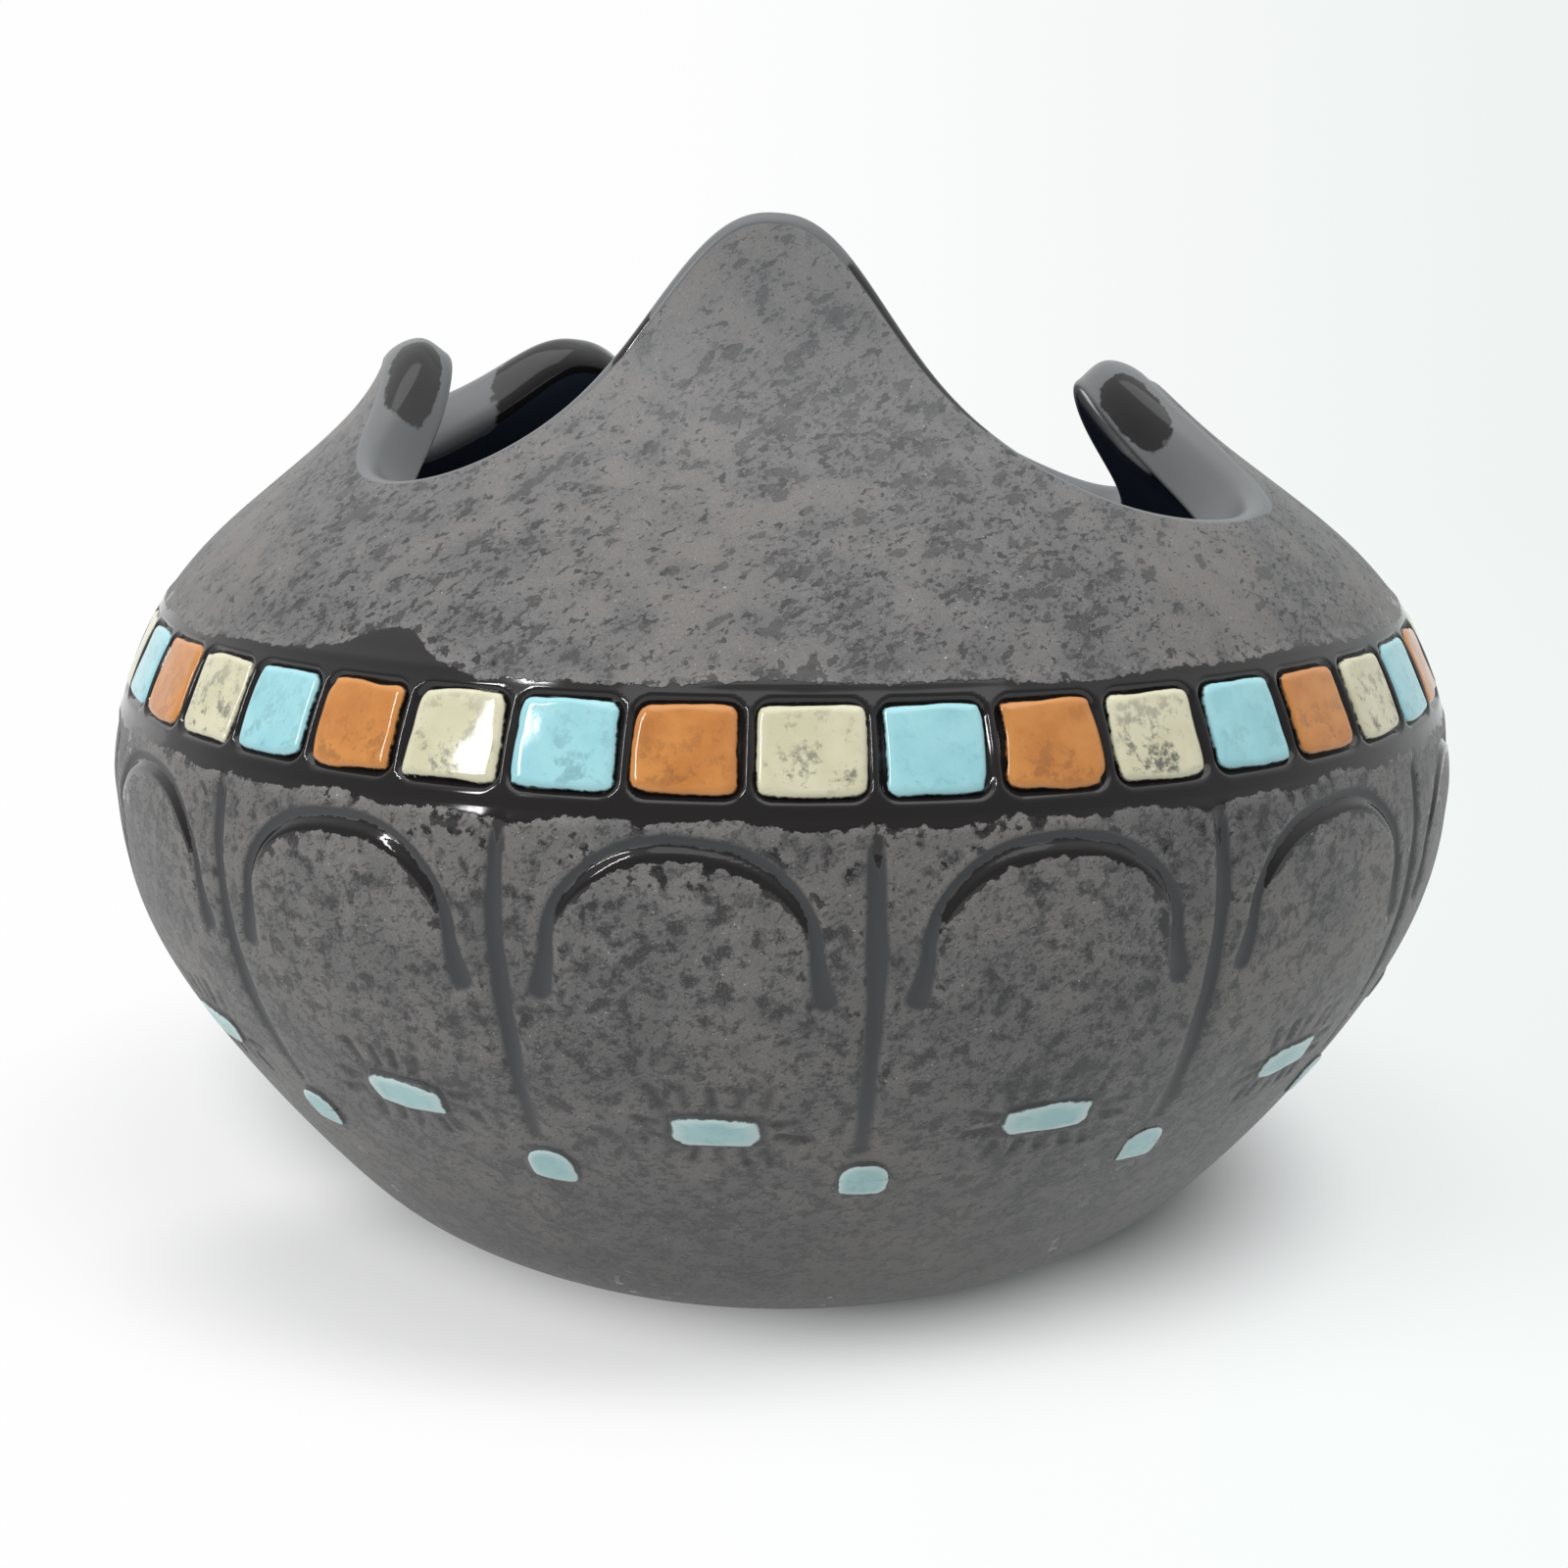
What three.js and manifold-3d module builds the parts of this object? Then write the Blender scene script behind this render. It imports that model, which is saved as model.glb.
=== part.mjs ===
// A round-bellied blackware pot with a wavy cut rim, a band of glazed tiles under the shoulder,
// and small raised pads of pale turquoise glaze low on the belly.
// Millimetres, +Z up. The origin is the centre of the flat foot, on the pot's axis.
// Azimuth is measured from -Y towards +X, so azimuth 0 is the front.

import * as THREE from 'three';
import { mergeVertices } from 'three/addons/utils/BufferGeometryUtils.js';
import Module from 'manifold-3d';

const wasm = await Module();
wasm.setup();

// Pot outline: the named stations, and how the curve bends between them.
const footRadius = 30;
const bellyRadius = 90;
const bellyHeight = 70;
const bandInset = 4.4;
const bandClimb = 16.4;
const neckRadius = 45;
const neckHeight = 142;

// Each pair is a share of the climb and a share of the change in radius.
const bowlBends = [[0.09, 0.272], [0.28, 0.575], [0.52, 0.796], [0.757, 0.952]];
const neckBends = [[0.176, 0.203], [0.338, 0.47], [0.533, 0.766], [0.73, 0.914]];

// Wall thickness in the bowl and at the rim, and how far the neck leans to -X at its top.
const bowlWall = 6.5;
const rimWall = 8.5;
const neckLean = 5.9;
const rimEdge = 1.6;

// The rim is a low, tipped level this far below the neck's full height, and five lobes rise from it.
// The low between the left lobe and the one behind it is lifted by a small step.
const rimDrop = 37.3;
const rimTiltSide = 2.2;
const rimTiltFront = 5;
const lobeSharpness = 2.4;
const frontLobe = 31.4;
const leftLobe = 18.6;
const rightLobe = 21.8;
const backLeftLobe = 23;
const backRightLobe = 15;
const leftStep = 4.5;
const rimLobes = [
  { azimuth: -1.3, rise: frontLobe, spread: 24.7 },
  { azimuth: -81, rise: leftLobe, spread: 20.3 },
  { azimuth: 96.5, rise: rightLobe, spread: 25.6 },
  { azimuth: -140, rise: backLeftLobe, spread: 24 },
  { azimuth: 159.5, rise: backRightLobe, spread: 17 },
  { azimuth: -111, rise: leftStep, spread: 11 },
];

// Tile band: a shallow channel round the pot, and the glazed tiles that lie in it.
const panelCount = 14;
const tilesPerPanel = 3;
const frontGroove = 6.3;
const bandLean = 25;
const tileWidth = 10.6;
const tileHeight = 9.6;
const tileThickness = 1.5;
const tileCorner = 1.3;
const tileBevel = 0.5;
const channelDepth = 1.5;
const channelMargin = 0.8;
const seatGap = 0.3;

// Turquoise bars, one in each panel, and turquoise dots, one under each groove.
const barHeight = 43.8;
const barShift = 1.7;
const barWidth = 10.4;
const barTall = 4.6;
const barThickness = 0.9;
const barCorner = 0.7;
const dotHeight = 36.5;
const dotWidth = 5.8;
const dotTall = 5.9;
const dotRise = 0.9;
const dotRoot = 1;
const padBevel = 0.35;
const padCrown = 0.15;

// Facets: columns round the pot, and rows up each stretch of the wall.
const columnsPerPanel = 8;
const bowlRows = 9;
const neckRows = 5;
const innerBowlRows = 6;
const cornerSteps = 2;
const domeSteps = 8;

const radians = THREE.MathUtils.degToRad;

// A natural cubic curve through [position, value] pairs, with its slope.
function smoothCurve(points) {
  const x = points.map((p) => p[0]);
  const y = points.map((p) => p[1]);
  const last = x.length - 1;
  const bend = new Array(last + 1).fill(0);
  const upper = new Array(last + 1).fill(0);
  const load = new Array(last + 1).fill(0);
  for (let i = 1; i < last; i += 1) {
    const before = x[i] - x[i - 1];
    const after = x[i + 1] - x[i];
    const pivot = 2 * (before + after) - before * upper[i - 1];
    const turn = (y[i + 1] - y[i]) / after - (y[i] - y[i - 1]) / before;
    upper[i] = after / pivot;
    load[i] = (6 * turn - before * load[i - 1]) / pivot;
  }
  for (let i = last - 1; i > 0; i -= 1) {
    bend[i] = load[i] - upper[i] * bend[i + 1];
  }
  const value = (at) => {
    let i = 0;
    while (i < last - 1 && at > x[i + 1]) {
      i += 1;
    }
    const span = x[i + 1] - x[i];
    const a = (x[i + 1] - at) / span;
    const b = (at - x[i]) / span;
    const curved = (a ** 3 - a) * bend[i] + (b ** 3 - b) * bend[i + 1];
    return a * y[i] + b * y[i + 1] + (curved * span * span) / 6;
  };
  const step = 0.01;
  const slope = (at) => (value(at + step) - value(at - step)) / (2 * step);
  return { value, slope };
}

// The band's centre, in from the belly and above it, and the lean of its line.
const bandRadius = bellyRadius - bandInset;
const bandHeight = bellyHeight + bandClimb;
const bandUp = { r: -Math.sin(radians(bandLean)), z: Math.cos(radians(bandLean)) };
const bandOut = { r: bandUp.z, z: -bandUp.r };
const channelHalf = tileHeight / 2 + channelMargin;

function bandPoint(along, out) {
  return {
    r: bandRadius + along * bandUp.r + out * bandOut.r,
    z: bandHeight + along * bandUp.z + out * bandOut.z,
  };
}

function outlinePoints() {
  const low = bandPoint(-channelHalf, 0);
  const high = bandPoint(channelHalf, 0);
  const climb = (from, to, bends) => bends.map(([up, across]) => [
    from[0] + up * (to[0] - from[0]),
    from[1] + across * (to[1] - from[1]),
  ]);
  const foot = [0, footRadius];
  const belly = [bellyHeight, bellyRadius];
  const bandTop = [high.z, high.r];
  const neck = [neckHeight, neckRadius];
  return [
    foot,
    ...climb(foot, belly, bowlBends),
    belly,
    [low.z, low.r],
    bandTop,
    ...climb(bandTop, neck, neckBends),
    neck,
  ];
}

const outline = smoothCurve(outlinePoints());

// Unit direction out of the wall, in the plane through the axis.
function wallNormal(height) {
  const slope = outline.slope(height);
  const length = Math.hypot(1, slope);
  return { r: 1 / length, z: -slope / length };
}

// The neck leans to one side more and more above the band.
function leanAt(height) {
  const climbed = Math.max(0, height - bandHeight) / (neckHeight - bandHeight);
  return neckLean * climbed * climbed;
}

function outerPoint(azimuth, height) {
  return { r: outline.value(height) - leanAt(height) * Math.sin(azimuth), z: height };
}

// The wall thickens from the band up to the rim's low level.
function wallAt(height) {
  const share = THREE.MathUtils.smoothstep(height, bandHeight, neckHeight - rimDrop);
  return bowlWall + (rimWall - bowlWall) * share;
}

// The point under outerPoint, this deep in the wall.
function depthPoint(azimuth, height, depth) {
  const skin = outerPoint(azimuth, height);
  const normal = wallNormal(height);
  return { r: skin.r - depth * normal.r, z: skin.z - depth * normal.z };
}

function innerPoint(azimuth, height) {
  return depthPoint(azimuth, height, wallAt(height));
}

// Height of the rim's outer edge: the tipped level, its five lobes and the left step.
function rimHeight(azimuth) {
  const tilt = rimTiltFront * Math.cos(azimuth) - rimTiltSide * Math.sin(azimuth);
  const rise = rimLobes.reduce((sum, lobe) => {
    const away = azimuth - radians(lobe.azimuth);
    const turned = Math.atan2(Math.sin(away), Math.cos(away));
    const reach = Math.abs(turned) / radians(lobe.spread);
    return sum + lobe.rise * Math.exp(-(reach ** lobeSharpness));
  }, 0);
  return neckHeight - rimDrop + tilt + rise;
}

// The bowl's heights crowd together near the foot, where the wall turns under.
function bowlHeights(rows, top) {
  return Array.from({ length: rows + 1 }, (_, i) => top * (i / rows) ** 1.5);
}

function neckHeights(rows, from, to) {
  return Array.from({ length: rows }, (_, i) => from + ((i + 1) / rows) * (to - from));
}

// One cut through the wall: up the outside from the foot, over the rim, down the inside.
function wallSection(azimuth) {
  const lowLip = bandPoint(-channelHalf, 0);
  const highLip = bandPoint(channelHalf, 0);
  const rim = rimHeight(azimuth);
  const climb = wallNormal(rim).r;
  const shoulder = rim - rimEdge * climb;
  const neck = neckHeights(neckRows, highLip.z, shoulder);
  const bowl = bowlHeights(bowlRows, lowLip.z);
  const innerBowl = bowlHeights(innerBowlRows, bandHeight);
  return [
    ...bowl.map((height) => ({ r: outline.value(height), z: height })),
    bandPoint(-channelHalf, -channelDepth),
    bandPoint(channelHalf, -channelDepth),
    highLip,
    ...neck.map((height) => outerPoint(azimuth, height)),
    depthPoint(azimuth, rim, rimEdge),
    depthPoint(azimuth, rim, wallAt(rim) - rimEdge),
    ...neck.reverse().map((height) => innerPoint(azimuth, height)),
    ...innerBowl.reverse().map((height) => innerPoint(azimuth, height)),
  ];
}

// Height is Z, and azimuth turns from -Y towards +X.
function placed(azimuth, point) {
  return [point.r * Math.sin(azimuth), -point.r * Math.cos(azimuth), point.z];
}

function meshFrom(positions, faces) {
  const geometry = new THREE.BufferGeometry();
  geometry.setAttribute('position', new THREE.Float32BufferAttribute(positions.flat(), 3));
  geometry.setIndex(faces.flat());
  return geometry;
}

// Two triangles for each step between neighbouring rings, which close on themselves.
function ringFaces(lower, upper, count) {
  const faces = [];
  for (let i = 0; i < count; i += 1) {
    const next = (i + 1) % count;
    faces.push([lower + i, lower + next, upper + i]);
    faces.push([lower + next, upper + next, upper + i]);
  }
  return faces;
}

function fanFaces(ring, count, centre, facesUp) {
  return Array.from({ length: count }, (_, i) => {
    const next = (i + 1) % count;
    return facesUp ? [ring + i, ring + next, centre] : [ring + next, ring + i, centre];
  });
}

function vesselGeometry() {
  const columns = panelCount * columnsPerPanel;
  const azimuths = Array.from({ length: columns }, (_, i) => (i / columns) * 2 * Math.PI);
  const sections = azimuths.map((azimuth) => wallSection(azimuth));
  const rows = sections[0].length;
  const positions = [];
  for (let row = 0; row < rows; row += 1) {
    azimuths.forEach((azimuth, i) => positions.push(placed(azimuth, sections[i][row])));
  }
  const footCentre = positions.length;
  positions.push([0, 0, 0]);
  const floorCentre = positions.length;
  positions.push([0, 0, sections[0][rows - 1].z]);
  const faces = fanFaces(0, columns, footCentre, false);
  for (let row = 0; row < rows - 1; row += 1) {
    faces.push(...ringFaces(row * columns, (row + 1) * columns, columns));
  }
  faces.push(...fanFaces((rows - 1) * columns, columns, floorCentre, true));
  return meshFrom(positions, faces);
}

// Outline of a pad, anticlockwise: u along the band, v up the wall.
function roundedRectangle(width, height, corner) {
  const points = [];
  for (let side = 0; side < 4; side += 1) {
    const right = side === 0 || side === 3 ? 1 : -1;
    const up = side < 2 ? 1 : -1;
    for (let step = 0; step <= cornerSteps; step += 1) {
      const turn = (side + step / cornerSteps) * (Math.PI / 2);
      points.push({
        u: right * (width / 2 - corner) + corner * Math.cos(turn),
        v: up * (height / 2 - corner) + corner * Math.sin(turn),
      });
    }
  }
  return points;
}

// A flat-bottomed dome: a half circle on a short straight-sided foot.
function domeOutline(width, height) {
  const radius = width / 2;
  const spring = height / 2 - radius;
  const points = [{ u: -radius, v: -height / 2 }, { u: radius, v: -height / 2 }];
  for (let step = 0; step <= domeSteps; step += 1) {
    const turn = (step / domeSteps) * Math.PI;
    points.push({ u: radius * Math.cos(turn), v: spring + radius * Math.sin(turn) });
  }
  return points;
}

// Where a pad sits: its centre on the wall, the way up the wall and the way out of it.
function bandSeat(azimuth) {
  return { azimuth, r: bandRadius, z: bandHeight, up: bandUp, out: bandOut };
}

function wallSeat(azimuth, height) {
  const out = wallNormal(height);
  return { azimuth, r: outline.value(height), z: height, up: { r: -out.z, z: out.r }, out };
}

function padPoint(seat, u, v, out) {
  const azimuth = seat.azimuth + u / seat.r;
  return placed(azimuth, {
    r: seat.r + v * seat.up.r + out * seat.out.r,
    z: seat.z + v * seat.up.z + out * seat.out.z,
  });
}

// A pad with straight sides, a bevelled edge and a slightly domed face.
function padGeometry(seat, points, size, from, to, bevel) {
  const count = points.length;
  const ring = (inset, out) => points.map(({ u, v }) => padPoint(
    seat,
    u * (1 - (2 * inset) / size.width),
    v * (1 - (2 * inset) / size.height),
    out,
  ));
  const positions = [...ring(0, from), ...ring(0, to - bevel), ...ring(bevel, to)];
  const baseCentre = positions.length;
  positions.push(padPoint(seat, 0, 0, from));
  positions.push(padPoint(seat, 0, 0, to + padCrown));
  const faces = [
    ...fanFaces(0, count, baseCentre, false),
    ...ringFaces(0, count, count),
    ...ringFaces(count, 2 * count, count),
    ...fanFaces(2 * count, count, baseCentre + 1, true),
  ];
  return meshFrom(positions, faces);
}

function solidFrom(geometry) {
  const merged = mergeVertices(geometry);
  return new wasm.Manifold(new wasm.Mesh({
    numProp: 3,
    vertProperties: new Float32Array(merged.attributes.position.array),
    triVerts: new Uint32Array(merged.index.array),
  }));
}

function geometryFrom(solid) {
  const mesh = solid.getMesh();
  const geometry = new THREE.BufferGeometry();
  geometry.setAttribute('position', new THREE.BufferAttribute(mesh.vertProperties, 3));
  geometry.setIndex(new THREE.BufferAttribute(mesh.triVerts, 1));
  return geometry;
}

const panelPitch = 360 / panelCount;
const tilePitch = panelPitch / tilesPerPanel;

function grooveAzimuth(panel) {
  return radians(frontGroove + panel * panelPitch);
}

// A raised dot under each groove, rooted in the wall.
function dotGeometry(panel) {
  const size = { width: dotWidth, height: dotTall };
  const seat = wallSeat(grooveAzimuth(panel), dotHeight);
  const points = domeOutline(dotWidth, dotTall);
  return padGeometry(seat, points, size, -dotRoot, dotRise, padBevel);
}

function potGeometry() {
  let solid = solidFrom(vesselGeometry());
  for (let panel = 0; panel < panelCount; panel += 1) {
    solid = solid.add(solidFrom(dotGeometry(panel)));
  }
  return geometryFrom(solid);
}

function tileGeometry(index) {
  const size = { width: tileWidth, height: tileHeight };
  const azimuth = radians(frontGroove + (index + 0.5) * tilePitch);
  const points = roundedRectangle(tileWidth, tileHeight, tileCorner);
  const base = seatGap - channelDepth;
  return padGeometry(bandSeat(azimuth), points, size, base, base + tileThickness, tileBevel);
}

function barGeometry(index) {
  const size = { width: barWidth, height: barTall };
  const azimuth = radians(frontGroove + (index + 0.5) * panelPitch + barShift);
  const points = roundedRectangle(barWidth, barTall, barCorner);
  const seat = wallSeat(azimuth, barHeight);
  return padGeometry(seat, points, size, seatGap, seatGap + barThickness, padBevel);
}

function finish(color, roughness) {
  return new THREE.MeshStandardMaterial({ color, roughness, metalness: 0 });
}

const blackware = finish(0x5a5451, 0.45);
const tileFinishes = [
  { name: 'turquoise', material: finish(0x7fc8cf, 0.15) },
  { name: 'orange', material: finish(0xc06f2b, 0.15) },
  { name: 'cream', material: finish(0xece5b8, 0.15) },
];
const paleTurquoise = finish(0xa5dcda, 0.35);

function named(name, geometry, material) {
  const mesh = new THREE.Mesh(geometry, material);
  mesh.name = name;
  return mesh;
}

function twoDigits(index) {
  return String(index + 1).padStart(2, '0');
}

const pot = new THREE.Group();
pot.add(named('pot_body', potGeometry(), blackware));

const tileBand = new THREE.Group();
for (let i = 0; i < panelCount * tilesPerPanel; i += 1) {
  const { name, material } = tileFinishes[i % tileFinishes.length];
  tileBand.add(named(`band_tile_${twoDigits(i)}_${name}`, tileGeometry(i), material));
}
pot.add(tileBand);

const barRow = new THREE.Group();
for (let i = 0; i < panelCount; i += 1) {
  barRow.add(named(`belly_bar_${twoDigits(i)}`, barGeometry(i), paleTurquoise));
}
pot.add(barRow);

export default pot;
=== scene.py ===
"""A round-bellied blackware pot, dressed for a studio picture.

The pot has a rim cut freehand into lobes, a band of raised glazed tiles round its shoulder,
carved arches and panel grooves on its belly, and small turquoise glaze pads low on it.

Shapes are worked out in millimetres and put into the meshes in metres. The origin is the centre
of the flat foot. Azimuth is measured from -Y towards +X, so azimuth 0 is the front of the pot.
"""

import logging
import math
from dataclasses import dataclass, field
from enum import Enum

import bpy
import numpy as np
from mathutils import Matrix, Vector


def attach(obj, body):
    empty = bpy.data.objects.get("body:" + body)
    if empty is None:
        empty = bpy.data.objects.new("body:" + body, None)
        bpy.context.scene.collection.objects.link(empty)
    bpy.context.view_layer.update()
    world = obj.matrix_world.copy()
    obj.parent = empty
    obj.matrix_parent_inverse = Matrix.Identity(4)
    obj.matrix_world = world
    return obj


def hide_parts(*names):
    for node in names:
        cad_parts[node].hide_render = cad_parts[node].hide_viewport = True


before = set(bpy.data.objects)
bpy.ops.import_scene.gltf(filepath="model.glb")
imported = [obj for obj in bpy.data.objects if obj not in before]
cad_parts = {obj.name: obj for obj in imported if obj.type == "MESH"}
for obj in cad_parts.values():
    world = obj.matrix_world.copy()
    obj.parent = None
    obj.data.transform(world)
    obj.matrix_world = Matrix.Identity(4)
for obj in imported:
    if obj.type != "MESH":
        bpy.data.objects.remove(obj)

MM = 0.001
FULL_TURN = 2.0 * math.pi
LOG = logging.getLogger("pot")


def smooth_step(low: float, high: float, at: np.ndarray) -> np.ndarray:
    """Rise from 0 at low to 1 at high, level at both ends.

    Args:
        low: Where the rise starts.
        high: Where it ends.
        at: The places to work out.

    Returns:
        3t^2 - 2t^3, where t is the share of the way from low to high, kept within 0 and 1.
    """
    share = np.clip((at - low) / (high - low), 0.0, 1.0)
    return share * share * (3.0 - 2.0 * share)


def round_hollow(distance: np.ndarray, half_width: np.ndarray) -> np.ndarray:
    """Cross-section of a groove with soft shoulders.

    Args:
        distance: Distance from the groove's centre line.
        half_width: Half of its width.

    Returns:
        The square of the cosine of a quarter turn times distance over half width: 1 at the
        centre line and 0 from the edge outwards.
    """
    share = np.clip(np.abs(distance) / half_width, 0.0, 1.0)
    return np.cos(0.5 * math.pi * share) ** 2


def bell(at: np.ndarray, centre: float, width: float) -> np.ndarray:
    """A smooth bump that is 1 at its centre and 1/e at its width from there."""
    return np.exp(-(((at - centre) / width) ** 2))


def wrapped(turn: np.ndarray) -> np.ndarray:
    """The same turn in radians, within half a turn either way."""
    return np.arctan2(np.sin(turn), np.cos(turn))


def mixed(start: float, end: float, share: np.ndarray) -> np.ndarray:
    """The value at a share of the way from start to end."""
    return start + (end - start) * share


class SmoothCurve:
    """A natural cubic curve through pairs of position and value."""

    def __init__(self, points: list[tuple[float, float]]) -> None:
        """Solve for the curve's second derivatives.

        Args:
            points: Pairs of position and value, in rising order of position.
        """
        self.at = np.array([p[0] for p in points])
        self.values = np.array([p[1] for p in points])
        gaps = np.diff(self.at)
        count = len(points)
        matrix = np.eye(count)
        load = np.zeros(count)
        inner = np.arange(1, count - 1)
        matrix[inner, inner - 1] = gaps[:-1]
        matrix[inner, inner] = 2.0 * (gaps[:-1] + gaps[1:])
        matrix[inner, inner + 1] = gaps[1:]
        load[inner] = 6.0 * np.diff(np.diff(self.values) / gaps)
        self.bends = np.linalg.solve(matrix, load)

    def _spans(self, at: np.ndarray) -> tuple[np.ndarray, np.ndarray, np.ndarray]:
        """Find the span of each place, the span's length and the share of the way along it."""
        index = np.clip(np.searchsorted(self.at, at, side="left") - 1, 0, len(self.at) - 2)
        length = self.at[index + 1] - self.at[index]
        return index, length, (at - self.at[index]) / length

    def value(self, at: np.ndarray) -> np.ndarray:
        """Value at each place: the chord between two points plus the cubic bend over it."""
        index, length, b = self._spans(at)
        a = 1.0 - b
        bend = (a**3 - a) * self.bends[index] + (b**3 - b) * self.bends[index + 1]
        return a * self.values[index] + b * self.values[index + 1] + bend * length**2 / 6.0

    def slope(self, at: np.ndarray) -> np.ndarray:
        """Slope at each place: the derivative of value."""
        index, length, b = self._spans(at)
        a = 1.0 - b
        chord = (self.values[index + 1] - self.values[index]) / length
        bend = (3.0 * b**2 - 1.0) * self.bends[index + 1] - (3.0 * a**2 - 1.0) * self.bends[index]
        return chord + bend * length / 6.0


@dataclass(frozen=True)
class Lobe:
    """One rise of the rim: its place, rise and spread, and how soft its two edges are."""

    azimuth: float
    rise: float
    spread: float
    soft_outer: float
    soft_inner: float


@dataclass
class PotForm:
    """The thrown shape of the pot: its outline, its wall and its cut rim, in mm and degrees."""

    foot_radius: float = 30.0
    belly_radius: float = 90.0
    belly_height: float = 70.0
    band_radius: float = 85.6
    band_height: float = 86.4
    band_lean: float = 25.0
    tile_height: float = 9.6
    channel_margin: float = 0.8
    neck_radius: float = 45.0
    neck_height: float = 142.0
    bowl_wall: float = 6.5
    rim_wall: float = 8.5
    neck_lean: float = 5.9
    rim_level: float = 104.7
    rim_tilt_side: float = 2.2
    rim_tilt_front: float = 5.0
    lobe_sharpness: float = 2.4
    lobes: tuple[Lobe, ...] = (
        Lobe(-1.3, 31.4, 24.7, 0.0, 0.1),
        Lobe(-81.0, 18.6, 20.3, 1.0, 0.35),
        Lobe(96.5, 21.8, 25.6, 1.0, 0.0),
        Lobe(-140.0, 23.0, 24.0, 0.7, 1.0),
        Lobe(159.5, 15.0, 17.0, 0.7, 0.5),
        Lobe(-111.0, 4.5, 11.0, 0.3, 0.6),
    )
    bowl_bends: tuple[tuple[float, float], ...] = (
        (0.09, 0.272),
        (0.28, 0.575),
        (0.52, 0.796),
        (0.757, 0.952),
    )
    neck_bends: tuple[tuple[float, float], ...] = (
        (0.176, 0.203),
        (0.338, 0.47),
        (0.533, 0.766),
        (0.73, 0.914),
    )

    def __post_init__(self) -> None:
        """Lay the outline through the foot, the belly, the band's two lips and the neck."""
        low = self.band_point(-self.channel_half, 0.0)
        high = self.band_point(self.channel_half, 0.0)
        foot = (0.0, self.foot_radius)
        belly = (self.belly_height, self.belly_radius)
        neck = (self.neck_height, self.neck_radius)
        bowl_points = self._climb(foot, belly, self.bowl_bends)
        neck_points = self._climb((high[1], high[0]), neck, self.neck_bends)
        lips = [(low[1], low[0]), (high[1], high[0])]
        self.outline = SmoothCurve([foot, *bowl_points, belly, *lips, *neck_points, neck])

    @property
    def channel_half(self) -> float:
        """Half of the width of the channel that the tiles lie in."""
        return self.tile_height / 2.0 + self.channel_margin

    @staticmethod
    def _climb(
        start: tuple[float, float],
        end: tuple[float, float],
        bends: tuple[tuple[float, float], ...],
    ) -> list[tuple[float, float]]:
        """Turn shares of a climb and of a change in radius into heights and radii."""
        return [
            (start[0] + up * (end[0] - start[0]), start[1] + across * (end[1] - start[1]))
            for up, across in bends
        ]

    def band_point(self, along: float, out: float) -> tuple[float, float]:
        """Radius and height of a point along the band's leaning line and out from it."""
        lean = math.radians(self.band_lean)
        radius = self.band_radius - along * math.sin(lean) + out * math.cos(lean)
        return radius, self.band_height + along * math.cos(lean) + out * math.sin(lean)

    def band_offset(self, height: np.ndarray) -> np.ndarray:
        """Distance up the band's line from its centre, for a place on the outline."""
        lean = math.radians(self.band_lean)
        across = self.outline.value(height) - self.band_radius
        return (height - self.band_height) * math.cos(lean) - across * math.sin(lean)

    def outer_radius(self, azimuth: np.ndarray, height: np.ndarray) -> np.ndarray:
        """Radius of the outside: the outline, leaning to -X by the square of the climb."""
        climbed = np.maximum(0.0, height - self.band_height) / (self.neck_height - self.band_height)
        return self.outline.value(height) - self.neck_lean * climbed**2 * np.sin(azimuth)

    def normal(self, height: np.ndarray) -> tuple[np.ndarray, np.ndarray]:
        """Unit direction out of the wall, as its parts away from the axis and upwards."""
        slope = self.outline.slope(height)
        length = np.hypot(1.0, slope)
        return 1.0 / length, -slope / length

    def wall(self, height: np.ndarray) -> np.ndarray:
        """Thickness of the wall, which grows from the band up to the rim."""
        grown = smooth_step(self.band_height, self.rim_level, height)
        return mixed(self.bowl_wall, self.rim_wall, grown)

    def _lobe_share(self, lobe: Lobe, azimuth: np.ndarray) -> np.ndarray:
        """How much of a lobe's rise a place has: exp(-(turn / spread)^sharpness)."""
        turned = np.abs(wrapped(azimuth - math.radians(lobe.azimuth)))
        return np.exp(-((turned / math.radians(lobe.spread)) ** self.lobe_sharpness))

    def rim_height(self, azimuth: np.ndarray) -> np.ndarray:
        """Height of the rim's outer edge.

        Args:
            azimuth: Angles round the pot, in radians.

        Returns:
            The tipped low level plus each lobe's rise times its share there.
        """
        tilt = self.rim_tilt_front * np.cos(azimuth) - self.rim_tilt_side * np.sin(azimuth)
        rises = sum(lobe.rise * self._lobe_share(lobe, azimuth) for lobe in self.lobes)
        return self.rim_level + tilt + rises

    def rim_softness(self, azimuth: np.ndarray) -> tuple[np.ndarray, np.ndarray]:
        """How softly the rim's outer and inner edges are rounded, from 0 to 1."""
        shares = [self._lobe_share(lobe, azimuth) for lobe in self.lobes]
        outer = sum(lobe.soft_outer * share for lobe, share in zip(self.lobes, shares))
        inner = sum(lobe.soft_inner * share for lobe, share in zip(self.lobes, shares))
        return np.clip(outer, 0.0, 1.0), np.clip(inner, 0.0, 1.0)

    def placed(self, azimuth: np.ndarray, radius: np.ndarray, height: np.ndarray) -> np.ndarray:
        """Points in metres from azimuth, radius and height."""
        parts = (radius * np.sin(azimuth), -radius * np.cos(azimuth), height + 0.0 * azimuth)
        return np.stack(np.broadcast_arrays(*parts), axis=-1) * MM

    def sunk(self, azimuth: np.ndarray, height: np.ndarray, depth: np.ndarray) -> np.ndarray:
        """Points in metres this deep under the outside, measured square to the wall."""
        out, up = self.normal(height)
        radius = self.outer_radius(azimuth, height) - depth * out
        return self.placed(azimuth, radius, height - depth * up)


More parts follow.
